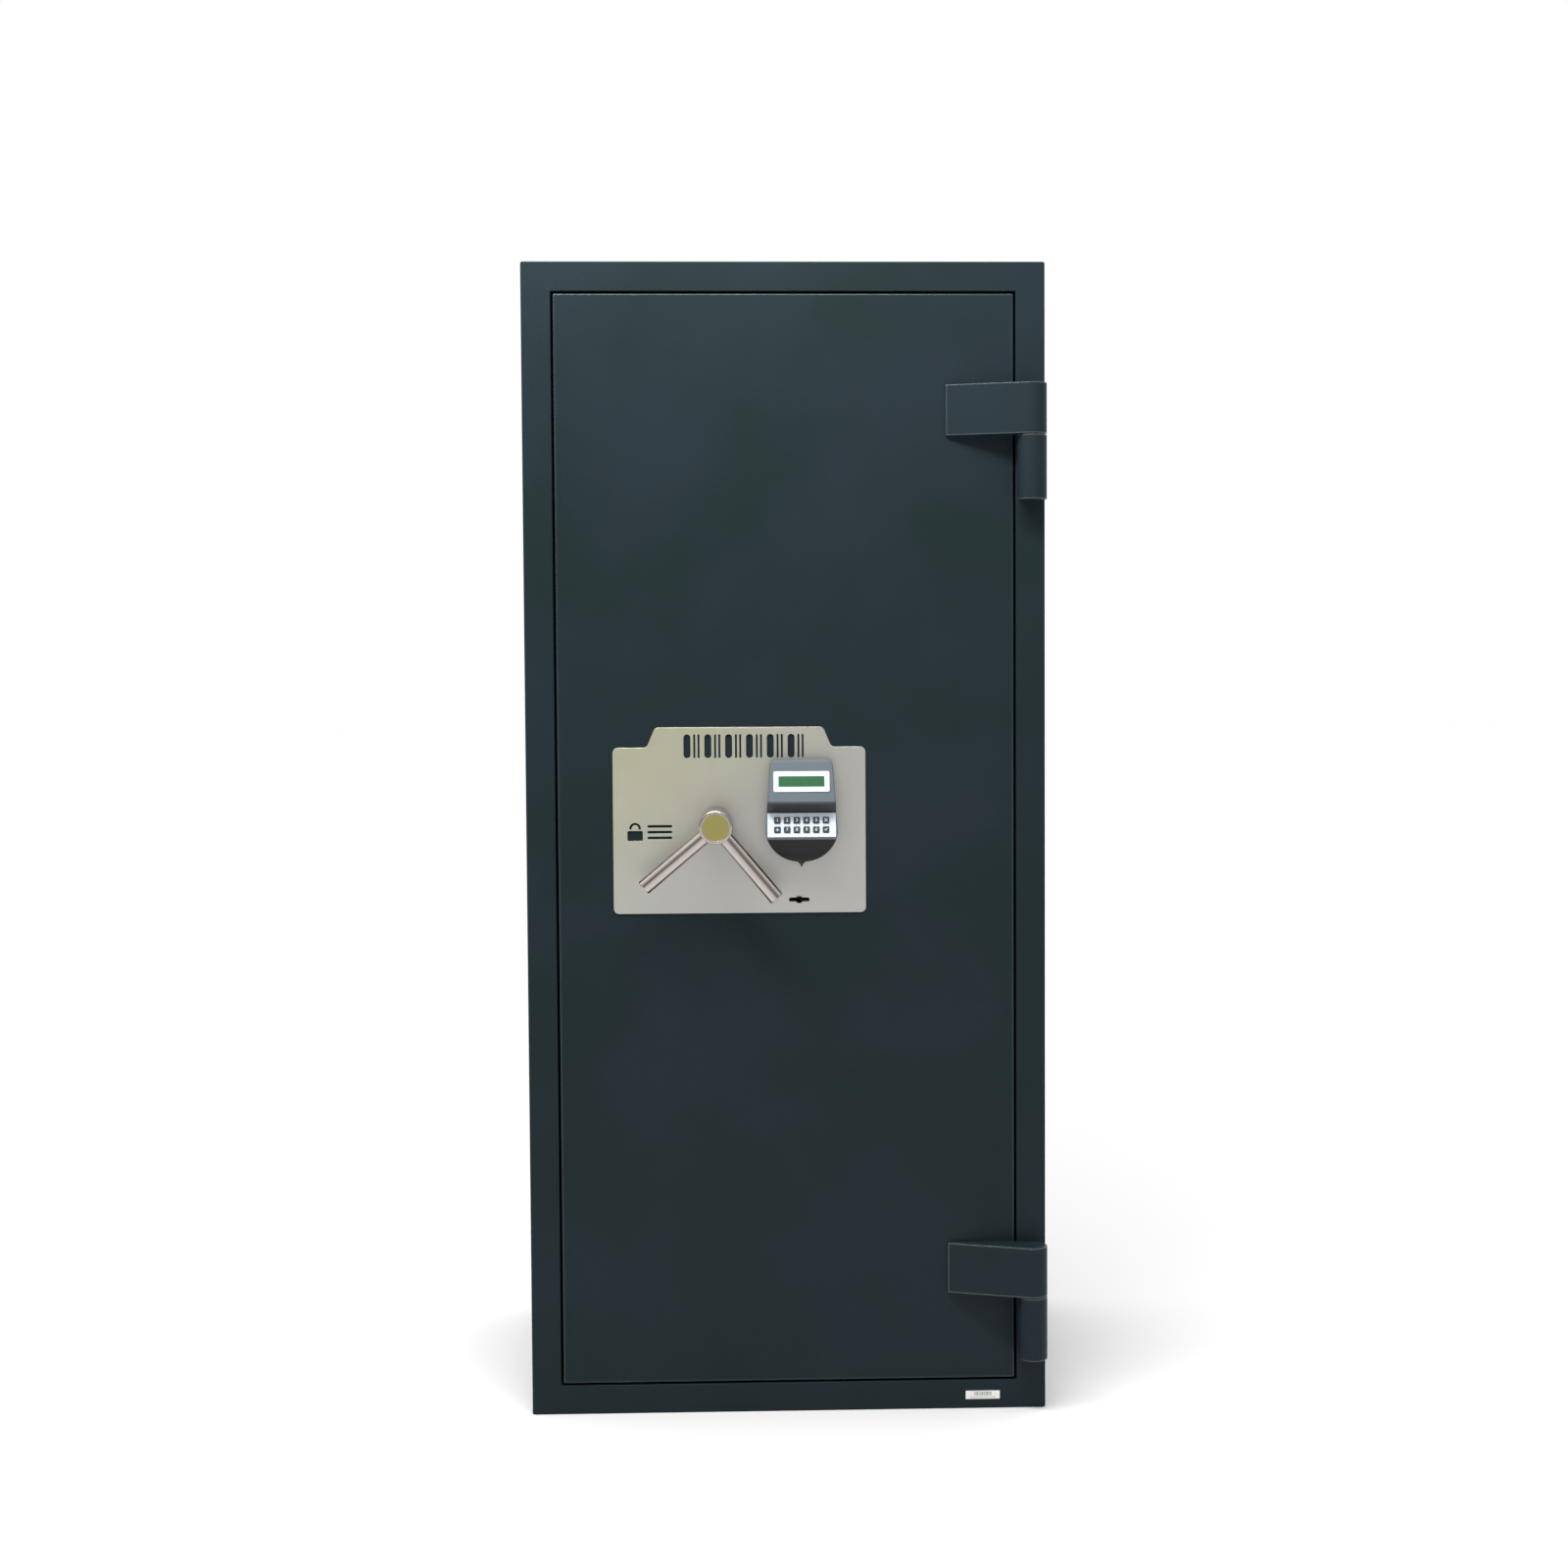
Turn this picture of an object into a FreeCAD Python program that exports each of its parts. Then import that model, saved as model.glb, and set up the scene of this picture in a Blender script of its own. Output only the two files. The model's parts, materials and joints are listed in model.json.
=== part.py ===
"""Free-standing gun safe: a double-wall cabinet lined with fire board, and an inset door on lift-off hinges.
A two-bar handle drives bolts on three sides through a pinion and racks. An electronic keypad lock and a
double-bit key lock block them.

Row frame: +X to the right as seen from the front, +Y into the safe, +Z up. The origin is the centre of the
cabinet's footprint at floor level. The door is closed and its bolts are drawn back. Units are millimetres.
"""

import math
import os

import FreeCAD
import Part

V = FreeCAD.Vector

# Cabinet
WIDTH, DEPTH, HEIGHT = 675.0, 500.0, 1500.0
SKIN = 3.0                      # outer sheet
LINER = 2.0                     # inner sheet
WALL = 60.0                     # outer face to inner face
FRAME_W, FRAME_T = 38.0, 10.0   # front frame, face width and thickness
LIP_DEPTH = 61.0                # front face to the back of the filled lip that the bolts lock behind
STOP_FRONT = 103.0              # front face to the door stop
SEAL, SEAL_W = 3.5, 5.0         # thickness and width

# Furniture
MAT_T, MAT_GAP, MAT_HOLE_R = 5.0, 2.0, 18.0
SHELF_Z, SHELF_Y0, SHELF_LIP, SHELF_T = 1150.0, -40.0, 22.0, 2.0
RAIL_H, RAIL_W = 24.0, 20.0
RACK_Z, RACK_T, RACK_OUT, RACK_NOTCHES = 960.0, 22.0, 88.0, 7
NOTCH_R, NOTCH_IN, NOTCH_PITCH = 17.0, 34.0, 74.0
LABEL_X0, LABEL_X1, LABEL_Z0, LABEL_Z1, LABEL_T = 232.0, 277.0, 12.5, 23.5, 0.3

# Door
GAP = 3.0                       # all round, between frame and door plate
PLATE_T = 10.0
PAN_INSET, PAN_BACK, PAN_T = 8.5, 55.0, 3.0
BOX_INSET, BOX_BACK, COVER_T = 12.5, 96.0, 2.0
FLANGE = 18.0

# Boltwork
BOLT_R, BOLT_Y, BOLT_PROUD = 12.5, 77.0, 2.0
MODULE, TEETH = 2.0, 20
PITCH_R = MODULE * TEETH / 2
HANDLE_SWING = 90.0
THROW = math.radians(HANDLE_SWING) * PITCH_R
BACKLASH = 0.24
SIDE_BOLT_Z = (190.0, 470.0, 750.0, 1030.0, 1310.0)
END_BOLT_X = (-150.0, 0.0, 150.0)
DEAD_BOLT_Z = (330.0, 750.0, 1170.0)
FRONT_LAYER = (59.0, 67.0)      # depth span of the side carriage
BACK_LAYER = (71.0, 79.0)       # depth span of the top and bottom rods
CARRIAGE_X, ANGLE_T, ANGLE_W = -246.0, 4.0, 31.0
ROD_W, END_ANGLE_IN = 20.5, 40.0
BLOCK_W, BLOCK_H = 10.5, 12.0   # catch blocks along the bottom rod
SCREW_R = 2.5

# Handle
HUB_X, HUB_Z = -91.0, 775.0
HUB_R, HUB_FRONT, HUB_BACK = 21.5, 64.0, 4.0
DISC_R = 17.2
GRIP_R, GRIP_REACH, GRIP_OUT = 10.0, 121.0, 46.0
GRIP_ANGLES = (220.0, 310.0)    # counter-clockwise from +X, seen from the front
SPINDLE_R, BUSH_R, RUNNING = 8.0, 12.0, 0.05

# Cover plate round the handle and locks
SHIELD_T = 2.0
SHIELD_X, SHIELD_W = -61.0, 328.0
SHIELD_Z0, SHIELD_SHOULDER, SHIELD_Z1 = 659.0, 875.0, 901.0
SHIELD_TAB_FOOT, SHIELD_TAB_TOP = 120.0, 109.0
KEY_X, KEY_Z, KEY_SLOT, KEY_SLOT_H, KEY_EYE_R = 16.0, 676.0, 27.0, 5.6, 4.9

# Locks
LOCKS = {"electronic": 832.0, "key": KEY_Z}    # height of each
CASE_X0, CASE_X1, CASE_H, CASE_T = -34.0, 54.0, 61.0, 32.0
LATCH_H, LATCH_T = 18.0, 7.0
LATCH_Y = (BACK_LAYER[0] + BACK_LAYER[1]) / 2
CABLE_R, CABLE_HOLE_R, CABLE_Z = 2.5, 6.0, LOCKS["electronic"]
HARD_T = 4.0

# Keypad
PAD_X = 19.2
PAD_TOP, PAD_WIDE, PAD_LOW = 859.0, 765.0, 726.0
PAD_HALF_TOP, PAD_HALF = 40.2, 46.5
PAD_WALL = 2.5
DISPLAY_HIGH, DISPLAY_LOW = (857.0, 23.0), (803.0, 41.0)    # height, and reach out from the cover plate
DISPLAY_SHARE = 0.475                   # how far down its face the display is centred
PANEL_HIGH, PANEL_LOW = (791.0, 25.0), (759.5, 35.5)
CHIN, CHIN_FOOT = (738.0, 26.5), 8.0    # a point on the curved foot, and how far its end reaches
COVER_LINE = 757.0                      # the battery cover ends here
KEY_PITCH_X, KEY_PITCH_Z, KEY_SIZE = 12.5, 12.4, 8.0

# Hinges
PIN_X = 318.5
PIN_IN, PIN_UP = 20.0, 50.0     # height of the pin's foot in the barrel, and its reach into the strap
BARREL_R, BARREL_OUT, PIN_R = 19.0, 20.0, 10.0
STRAP_LEFT, STRAP_TIP = 209.0, 4.5
HINGE_FEET = (72.5, 1192.5)
BARREL_H, WASHER_T, STRAP_H = 82.5, 1.5, 65.5

# Anchor holes in the floor
ANCHOR_R, ANCHOR_DX, ANCHOR_DY, ANCHOR_Y = 8.0, 400.0, 200.0, 40.0

FRONT = -DEPTH / 2
DOOR_X = WIDTH / 2 - FRAME_W - GAP
DOOR_Z0, DOOR_Z1 = FRAME_W + GAP, HEIGHT - FRAME_W - GAP
SHIELD_FRONT = FRONT - SHIELD_T
INNER_X, INNER_Y1 = WIDTH / 2 - WALL, DEPTH / 2 - WALL
OUT = "parts"


# ---------------------------------------------------------------- helpers

def deep(distance):
    """Y of a plane this far behind the front face."""
    return FRONT + distance


def box(x0, x1, y0, y1, z0, z1):
    return Part.makeBox(x1 - x0, y1 - y0, z1 - z0, V(x0, y0, z0))


def rod(radius, start, end):
    start, end = V(*start), V(*end)
    return Part.makeCylinder(radius, (end - start).Length, start, end - start)


def prism(points, direction):
    """A closed polygon of 3-D points pushed along a vector."""
    corners = [V(*p) for p in points]
    face = Part.Face(Part.makePolygon(corners + corners[:1]))
    return face.extrude(V(*direction))


def fused(shapes):
    shapes = list(shapes)
    return shapes[0].multiFuse(shapes[1:]).removeSplitter() if len(shapes) > 1 else shapes[0]


def rounded(shape, radius, wanted):
    """Fillets the edges whose middle point and direction pass the test."""
    chosen = []
    for edge in shape.Edges:
        middle = edge.valueAt((edge.FirstParameter + edge.LastParameter) / 2)
        along = edge.tangentAt(edge.FirstParameter)
        if wanted(middle, along):
            chosen.append(edge)
    return shape.makeFillet(radius, chosen)


def near(a, b):
    return abs(a - b) < 1e-3


def ring(outside, inside, y0, y1):
    """A rectangular ring about the cabinet's centre line, between two distances in from its outer faces."""
    outer = box(outside - WIDTH / 2, WIDTH / 2 - outside, y0, y1, outside, HEIGHT - outside)
    inner = box(inside - WIDTH / 2, WIDTH / 2 - inside, y0 - 1, y1 + 1, inside, HEIGHT - inside)
    return outer.cut(inner)


def mitred(shape):
    """Splits a ring into its four bars along the corners' mitres."""
    reach, x, y0, y1 = 120.0, WIDTH / 2, -DEPTH, DEPTH
    side = [(-x, y0, 0), (-x + reach, y0, reach), (-x + reach, y0, HEIGHT - reach), (-x, y0, HEIGHT)]
    foot = [(-x, y0, 0), (x, y0, 0), (x - reach, y0, reach), (-x + reach, y0, reach)]
    other = [(-a, b, c) for a, b, c in side]
    head = [(a, b, HEIGHT - c) for a, b, c in foot]
    return [shape.common(prism(wedge, (0, y1 - y0, 0))) for wedge in (side, other, foot, head)]


def save(name, *shapes):
    """Writes one sub-part as separate solids."""
    solids = [solid for shape in shapes for solid in shape.Solids]
    for solid in solids:
        if not solid.isValid() or solid.Volume <= 0:
            raise ValueError(f"{name} holds a bad solid")
    Part.makeCompound(solids).exportStep(os.path.join(OUT, name + ".step"))
    print(f"{name:24s} {len(solids):3d} solids {sum(s.Volume for s in solids) / 1000:10.1f} cm3")


# ---------------------------------------------------------------- cabinet

def anchor_bores(radius):
    return [
        rod(radius, (sx * ANCHOR_DX / 2, ANCHOR_Y + sy * ANCHOR_DY / 2, -1),
            (sx * ANCHOR_DX / 2, ANCHOR_Y + sy * ANCHOR_DY / 2, WALL + 10))
        for sx in (-1, 1) for sy in (-1, 1)
    ]


def without(shape, tools):
    for tool in tools:
        shape = shape.cut(tool)
    return shape


def outer_shell():
    x, back, y0, bend = WIDTH / 2, DEPTH / 2, deep(FRAME_T), SKIN - 0.2
    panels = []
    for side in (-1, 1):
        panel = box(*sorted((side * x, side * (x - SKIN))), y0, back, 0, HEIGHT)
        panels.append(rounded(panel, bend, lambda m, t: near(abs(m.x), x) and
                              (near(m.z, 0) or near(m.z, HEIGHT) or near(m.y, back))))
    for z0 in (0, HEIGHT - SKIN):
        panel = box(SKIN - x, x - SKIN, y0, back, z0, z0 + SKIN)
        outer = 0 if z0 == 0 else HEIGHT
        panel = rounded(panel, bend, lambda m, t: near(m.z, outer) and near(m.y, back))
        panels.append(without(panel, anchor_bores(ANCHOR_R + 3)) if z0 == 0 else panel)
    panels.append(box(SKIN - x, x - SKIN, back - SKIN, back, SKIN, HEIGHT - SKIN))
    return panels


def front_frame():
    """Four welded bars, ground flush, with eased edges."""
    shape = ring(0, FRAME_W, FRONT, deep(FRAME_T))
    half, opening = WIDTH / 2, WIDTH / 2 - FRAME_W
    shape = rounded(shape, 2.8, lambda m, t: near(abs(t.y), 1) and near(abs(m.x), half))
    shape = rounded(shape, 2.0, lambda m, t: near(m.y, FRONT) and not (
        abs(m.x) <= opening + 1 and FRAME_W - 1 <= m.z <= HEIGHT - FRAME_W + 1))
    shape = rounded(shape, 1.5, lambda m, t: near(m.y, FRONT) and abs(m.x) <= opening + 1e-3
                    and FRAME_W - 1e-3 <= m.z <= HEIGHT - FRAME_W + 1e-3)
    return mitred(shape)


def frame_return():
    """The folded sheet that closes the back of the filled lip, in front of the bolt recess."""
    inner_wall = ring(FRAME_W - SKIN, FRAME_W, deep(FRAME_T), deep(LIP_DEPTH))
    back_wall = ring(SKIN, FRAME_W - SKIN, deep(LIP_DEPTH - SKIN), deep(LIP_DEPTH))
    return mitred(inner_wall.fuse(back_wall).removeSplitter())


def door_stop():
    return mitred(ring(SKIN, WALL, deep(STOP_FRONT), deep(STOP_FRONT + SKIN)))


def door_seal():
    edge = WALL - 0.5
    return mitred(ring(edge - SEAL_W, edge, deep(STOP_FRONT - SEAL), deep(STOP_FRONT)))


def inner_liner():
    x, back, y0 = INNER_X, INNER_Y1, deep(STOP_FRONT + SKIN)
    low, high = WALL, HEIGHT - WALL
    floor = box(-x - LINER, x + LINER, y0, back + LINER, low - LINER, low)
    return [
        box(-x - LINER, -x, y0, back + LINER, low, high),
        box(x, x + LINER, y0, back + LINER, low, high),
        without(floor, anchor_bores(ANCHOR_R + 3)),
        box(-x - LINER, x + LINER, y0, back + LINER, high, high + LINER),
        box(-x, x, back, back + LINER, low, high),
    ]


def wall_boards():
    """Fire boards: five slabs between the outer and inner sheets, and four strips in the lip."""
    y0, back, x = deep(STOP_FRONT + SKIN), DEPTH / 2 - SKIN, WIDTH / 2 - SKIN
    room_x, room_y = INNER_X + LINER, INNER_Y1 + LINER
    floor = box(-x, x, y0, room_y, SKIN, WALL - LINER)
    slabs = [
        without(floor, anchor_bores(ANCHOR_R + 3)),
        box(-x, x, y0, room_y, HEIGHT - WALL + LINER, HEIGHT - SKIN),
        box(-x, -room_x, y0, room_y, WALL - LINER, HEIGHT - WALL + LINER),
        box(room_x, x, y0, room_y, WALL - LINER, HEIGHT - WALL + LINER),
        box(-x, x, room_y, back, SKIN, HEIGHT - SKIN),
    ]
    return slabs + mitred(ring(SKIN, FRAME_W - SKIN, deep(FRAME_T), deep(LIP_DEPTH - SKIN)))


def anchor_sleeves():
    outer, inner = anchor_bores(ANCHOR_R + 3), anchor_bores(ANCHOR_R)
    slab = box(-WIDTH, WIDTH, -DEPTH, DEPTH, 0, WALL)
    return [a.cut(b).common(slab) for a, b in zip(outer, inner)]


def floor_mat():
    x, y0 = INNER_X - MAT_GAP, deep(STOP_FRONT + SKIN) + 2 * MAT_GAP
    mat = box(-x, x, y0, INNER_Y1 - MAT_GAP, WALL, WALL + MAT_T)
    return without(mat, anchor_bores(MAT_HOLE_R))


def shelf():
    x, back, foot = INNER_X - 1, INNER_Y1 - 1, SHELF_Z - SHELF_LIP
    return fused([
        box(-x, x, SHELF_Y0, back, SHELF_Z, SHELF_Z + SHELF_T),
        box(-x, x, SHELF_Y0, SHELF_Y0 + SHELF_T, foot, SHELF_Z),
        box(-x, x, back - SHELF_T, back, foot, SHELF_Z),
    ])


def shelf_rails():
    rails, y0, y1 = [], SHELF_Y0 + 8, INNER_Y1 - 8
    for side in (-1, 1):
        outer, inner, tip = [side * (INNER_X - reach) for reach in (0, SHELF_T, RAIL_W)]
        wall = box(*sorted((outer, inner)), y0, y1, SHELF_Z - RAIL_H, SHELF_Z)
        ledge = box(*sorted((inner, tip)), y0, y1, SHELF_Z - SHELF_T, SHELF_Z)
        rails.append(fused([wall, ledge]))
    return rails


def gun_rack():
    """A padded comb across the back that holds long guns by the barrel."""
    x, front = INNER_X - 1.5, INNER_Y1 - RACK_OUT
    low, high = RACK_Z - 1, RACK_Z + RACK_T + 1
    comb = box(-x, x, front, INNER_Y1, RACK_Z, RACK_Z + RACK_T)
    for i in range(RACK_NOTCHES):
        centre = (i - (RACK_NOTCHES - 1) / 2) * NOTCH_PITCH
        comb = comb.cut(box(centre - NOTCH_R, centre + NOTCH_R, front - 1, front + NOTCH_IN, low, high))
        comb = comb.cut(rod(NOTCH_R, (centre, front + NOTCH_IN, low), (centre, front + NOTCH_IN, high)))
    return rounded(comb, 5.0, lambda m, t: near(abs(t.z), 1) and near(m.y, front))


def label():
    return box(LABEL_X0, LABEL_X1, FRONT - LABEL_T, FRONT, LABEL_Z0, LABEL_Z1)


# ---------------------------------------------------------------- hinges

def hinge_barrel(foot):
    """The fixed lower half: a barrel with a pad behind it, welded to the frame."""
    barrel = rod(BARREL_R, (PIN_X, FRONT - BARREL_OUT, foot), (PIN_X, FRONT - BARREL_OUT, foot + BARREL_H))
    pad = box(PIN_X - 15, PIN_X + 15, FRONT - BARREL_OUT, FRONT, foot, foot + BARREL_H)
    shape = rounded(fused([barrel, pad]), 1.0, lambda m, t: near(m.z, foot) and m.y < FRONT - 1)
    return shape.cut(hinge_pin(foot))


def hinge_pin(foot):
    """Pressed into the barrel and free in the strap."""
    axis = (PIN_X, FRONT - BARREL_OUT)
    return rod(PIN_R, (*axis, foot + PIN_IN), (*axis, foot + BARREL_H + WASHER_T + PIN_UP))


def thrust_washer(foot):
    low = (PIN_X, FRONT - BARREL_OUT, foot + BARREL_H)
    high = (PIN_X, FRONT - BARREL_OUT, foot + BARREL_H + WASHER_T - 0.1)
    return rod(BARREL_R - 3, low, high).cut(rod(PIN_R, low, high))


def hinge_strap(foot):
    """A plate wrapped round the pin and welded to the door face: a wedge in plan, with a blind bore."""
    z0 = foot + BARREL_H + WASHER_T
    centre = V(PIN_X, FRONT - BARREL_OUT, z0)
    tip = V(STRAP_LEFT, FRONT - STRAP_TIP, z0)
    reach = tip - centre
    lean = math.atan2(reach.y, reach.x) + math.acos(BARREL_R / reach.Length)
    touch = V(centre.x + BARREL_R * math.cos(lean), centre.y + BARREL_R * math.sin(lean), z0)
    back = V(PIN_X, FRONT - BARREL_OUT + BARREL_R, z0)
    seat = [back, V(DOOR_X + 5, FRONT - 1, z0), V(DOOR_X - 1, FRONT, z0), V(STRAP_LEFT, FRONT, z0)]
    seat += [tip, touch]
    runs = [Part.LineSegment(a, b).toShape() for a, b in zip(seat, seat[1:])]
    bend = Part.Arc(touch, V(PIN_X + BARREL_R, centre.y, z0), back).toShape()
    shape = Part.Face(Part.Wire(runs + [bend])).extrude(V(0, 0, STRAP_H))
    shape = rounded(shape, 1.2, lambda m, t: near(m.z, z0 + STRAP_H) and m.y < FRONT - 1.5)
    bore = rod(PIN_R + RUNNING, (PIN_X, centre.y, z0 - 1), (PIN_X, centre.y, z0 + PIN_UP + 2))
    return shape.cut(bore)


# ---------------------------------------------------------------- door

def key_passage(y0, y1, grow=0.0):
    """A double-bit key's way through: a flat slot with a round eye."""
    half, rise = KEY_SLOT / 2 + grow, KEY_SLOT_H / 2 + grow
    flat = box(KEY_X - half + rise, KEY_X + half - rise, y0, y1, KEY_Z - rise, KEY_Z + rise)
    tips = [KEY_X - half + rise, KEY_X + half - rise]
    ends = [rod(rise, (x, y0, KEY_Z), (x, y1, KEY_Z)) for x in tips]
    eye = rod(KEY_EYE_R + grow, (KEY_X, y0, KEY_Z), (KEY_X, y1, KEY_Z))
    return fused([flat, eye] + ends)


def door_bores(y0, y1):
    """The spindle's, the cable's and the key's ways through the door."""
    spindle = rod(BUSH_R, (HUB_X, y0, HUB_Z), (HUB_X, y1, HUB_Z))
    cable = rod(CABLE_HOLE_R, (PAD_X, y0, CABLE_Z), (PAD_X, y1, CABLE_Z))
    return [spindle, cable, key_passage(y0, y1)]


def door_plate():
    plate = box(-DOOR_X, DOOR_X, FRONT, deep(PLATE_T), DOOR_Z0, DOOR_Z1)
    plate = rounded(plate, 2.5, lambda m, t: near(abs(t.y), 1))
    plate = rounded(plate, 2.0, lambda m, t: near(m.y, FRONT))
    return without(plate, door_bores(FRONT - 1, deep(PLATE_T + 1)))


def door_slab(inset, y0, y1):
    return box(inset - DOOR_X, DOOR_X - inset, y0, y1, DOOR_Z0 + inset, DOOR_Z1 - inset)


def door_pan():
    outer = door_slab(PAN_INSET, deep(PLATE_T), deep(PAN_BACK))
    hollow = door_slab(PAN_INSET + PAN_T, deep(PLATE_T - 1), deep(PAN_BACK - PAN_T))
    return without(outer.cut(hollow), door_bores(FRONT, deep(PAN_BACK + 1)))


def door_board():
    slab = door_slab(PAN_INSET + PAN_T, deep(PLATE_T), deep(PAN_BACK - PAN_T))
    return without(slab, door_bores(FRONT, deep(PAN_BACK)))


def bolt_box():
    """The ring behind the pan that guides the bolts, with a flange inside for the back cover."""
    edge = FRAME_W + GAP + BOX_INSET
    wall = ring(edge, edge + SKIN, deep(PAN_BACK), deep(BOX_BACK))
    flange = ring(edge + SKIN, edge + FLANGE, deep(BOX_BACK - SKIN), deep(BOX_BACK))
    shape = fused([wall, flange])
    y, x, r = deep(BOLT_Y), WIDTH / 2 - edge, BOLT_R + 0.3
    holes = [rod(r, (-x - 1, y, z), (-x + SKIN + 1, y, z)) for z in SIDE_BOLT_Z]
    holes += [rod(BOLT_R - 2.5, (x - SKIN - 1, y, z), (x + 1, y, z)) for z in DEAD_BOLT_Z]
    holes += [rod(r, (bx, y, HEIGHT - edge - SKIN - 1), (bx, y, HEIGHT - edge + 1)) for bx in END_BOLT_X]
    holes += [rod(r, (bx, y, edge - 1), (bx, y, edge + SKIN + 1)) for bx in END_BOLT_X]
    return mitred(without(shape, holes))


def screw_places():
    inset = PAN_INSET + 15
    x, low, high = DOOR_X - inset, DOOR_Z0 + inset, DOOR_Z1 - inset
    rows = [low + (high - low) * i / 5 for i in range(6)]
    return [(side * x, z) for side in (-1, 1) for z in rows] + [(0, low), (0, high)]


def back_cover():
    cover = door_slab(BOX_INSET, deep(BOX_BACK), deep(BOX_BACK + COVER_T))
    cover = rounded(cover, 6.0, lambda m, t: near(abs(t.y), 1))
    y0, y1 = deep(BOX_BACK - 1), deep(BOX_BACK + 5)
    return without(cover, [rod(SCREW_R + 0.1, (x, y0, z), (x, y1, z)) for x, z in screw_places()])


def cover_screws():
    back = deep(BOX_BACK + COVER_T)
    screws = []
    for x, z in screw_places():
        shank = rod(SCREW_R, (x, deep(BOX_BACK), z), (x, back, z))
        head = rod(2 * SCREW_R, (x, back, z), (x, back + 2.0, z))
        head = rounded(head, 1.0, lambda m, t: near(m.y, back + 2.0))
        turns = [math.radians(a) for a in range(0, 360, 60)]
        hexagon = [(x + 1.8 * math.cos(a), back + 1.0, z + 1.8 * math.sin(a)) for a in turns]
        socket = prism(hexagon, (0, 2, 0))
        screws.append(fused([shank, head]).cut(socket))
    return screws


def dead_bolts():
    """Fixed bolts on the hinge side: they hook behind the lip as the door closes."""
    x, y = DOOR_X - BOX_INSET, deep(BOLT_Y)
    bolts = []
    for z in DEAD_BOLT_Z:
        bolt = rod(BOLT_R - 2.5, (x - 24, y, z), (x + 25, y, z))
        bolts.append(rounded(bolt, 2.0, lambda m, t: near(m.x, x + 25)))
    return bolts


def hard_plate():
    plate = box(CASE_X0 - 2, CASE_X1 + 8, deep(PAN_BACK), deep(PAN_BACK + HARD_T), 640, 872)
    return without(plate, door_bores(FRONT, 0))


def lock_case(centre_z, passage):
    y0 = deep(PAN_BACK + HARD_T)
    case = box(CASE_X0, CASE_X1, y0, y0 + CASE_T, centre_z - CASE_H / 2, centre_z + CASE_H / 2)
    case = rounded(case, 3.0, lambda m, t: near(abs(t.y), 1) or near(m.y, y0 + CASE_T))
    thick, high = LATCH_T / 2 + 0.2, LATCH_H / 2 + 0.2
    slot = box(CASE_X0 - 1, CASE_X0 + 32, deep(LATCH_Y - thick), deep(LATCH_Y + thick),
               centre_z - high, centre_z + high)
    case = case.cut(slot)
    return case.cut(key_passage(y0 - 1, y0 + 9)) if passage else case


def lock_latch(centre_z):
    latch = box(CASE_X0 - 1, CASE_X0 + 20, deep(LATCH_Y - LATCH_T / 2), deep(LATCH_Y + LATCH_T / 2),
                centre_z - LATCH_H / 2, centre_z + LATCH_H / 2)
    return rounded(latch, 1.0, lambda m, t: near(m.x, CASE_X0 - 1) and near(abs(t.y), 1))


def spindle_bush():
    """A flanged bearing through the door for the handle's spindle."""
    tube = rod(BUSH_R, (HUB_X, FRONT, HUB_Z), (HUB_X, deep(PAN_BACK), HUB_Z))
    bore = rod(SPINDLE_R + RUNNING, (HUB_X, FRONT - 1, HUB_Z), (HUB_X, deep(PAN_BACK) + 1, HUB_Z))
    return tube.cut(bore)


def keypad_cable():
    lock = deep(PAN_BACK + HARD_T)
    return rod(CABLE_R, (PAD_X, SHIELD_FRONT - 6, CABLE_Z), (PAD_X, lock, CABLE_Z))


# ---------------------------------------------------------------- cover plate

def upright_slot(x, z0, z1, width):
    r, y0, y1 = width / 2, SHIELD_FRONT - 1, FRONT + 1
    return fused([
        box(x - r, x + r, y0, y1, z0 + r, z1 - r),
        rod(r, (x, y0, z0 + r), (x, y1, z0 + r)),
        rod(r, (x, y0, z1 - r), (x, y1, z1 - r)),
    ])


def padlock_sign(x, z):
    """A stencil padlock, an arch cut above a body, with three short bars beside it."""
    y0, y1 = SHIELD_FRONT - 1, FRONT + 1
    body = rounded(box(x, x + 20, y0, y1, z, z + 13), 2.0, lambda m, t: near(abs(t.y), 1))
    outer, inner = [rod(r, (x + 10, y0, z + 16), (x + 10, y1, z + 16)) for r in (7.5, 4.5)]
    arch = outer.cut(inner).common(box(x, x + 20, y0, y1, z + 15, z + 30))
    bars = [box(x + 26, x + 58, y0, y1, z + rise, z + rise + 3.5) for rise in (2.0, 9.5, 17.0)]
    return [body, arch] + [rounded(bar, 1.4, lambda m, t: near(abs(t.y), 1)) for bar in bars]


def shield():
    left, right = SHIELD_X - SHIELD_W / 2, SHIELD_X + SHIELD_W / 2
    outline = [
        (left, SHIELD_Z0), (right, SHIELD_Z0), (right, SHIELD_SHOULDER),
        (SHIELD_X + SHIELD_TAB_FOOT, SHIELD_SHOULDER), (SHIELD_X + SHIELD_TAB_TOP, SHIELD_Z1),
        (SHIELD_X - SHIELD_TAB_TOP, SHIELD_Z1), (SHIELD_X - SHIELD_TAB_FOOT, SHIELD_SHOULDER),
        (left, SHIELD_SHOULDER),
    ]
    plate = prism([(x, SHIELD_FRONT, z) for x, z in outline], (0, SHIELD_T, 0))
    plate = rounded(plate, 7.0, lambda m, t: near(abs(t.y), 1))
    plate = rounded(plate, 0.5, lambda m, t: near(m.y, SHIELD_FRONT))
    cuts = []
    for i in range(6):
        x = -128.5 + 27.0 * i
        cuts += [upright_slot(x + step, 861, 892, width) for step, width in ((0, 9), (9.5, 2.6), (15, 2.6))]
    cuts += padlock_sign(-206.5, 754)
    cuts += door_bores(SHIELD_FRONT - 1, FRONT + 1)
    return without(plate, cuts)


# ---------------------------------------------------------------- keypad

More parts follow.
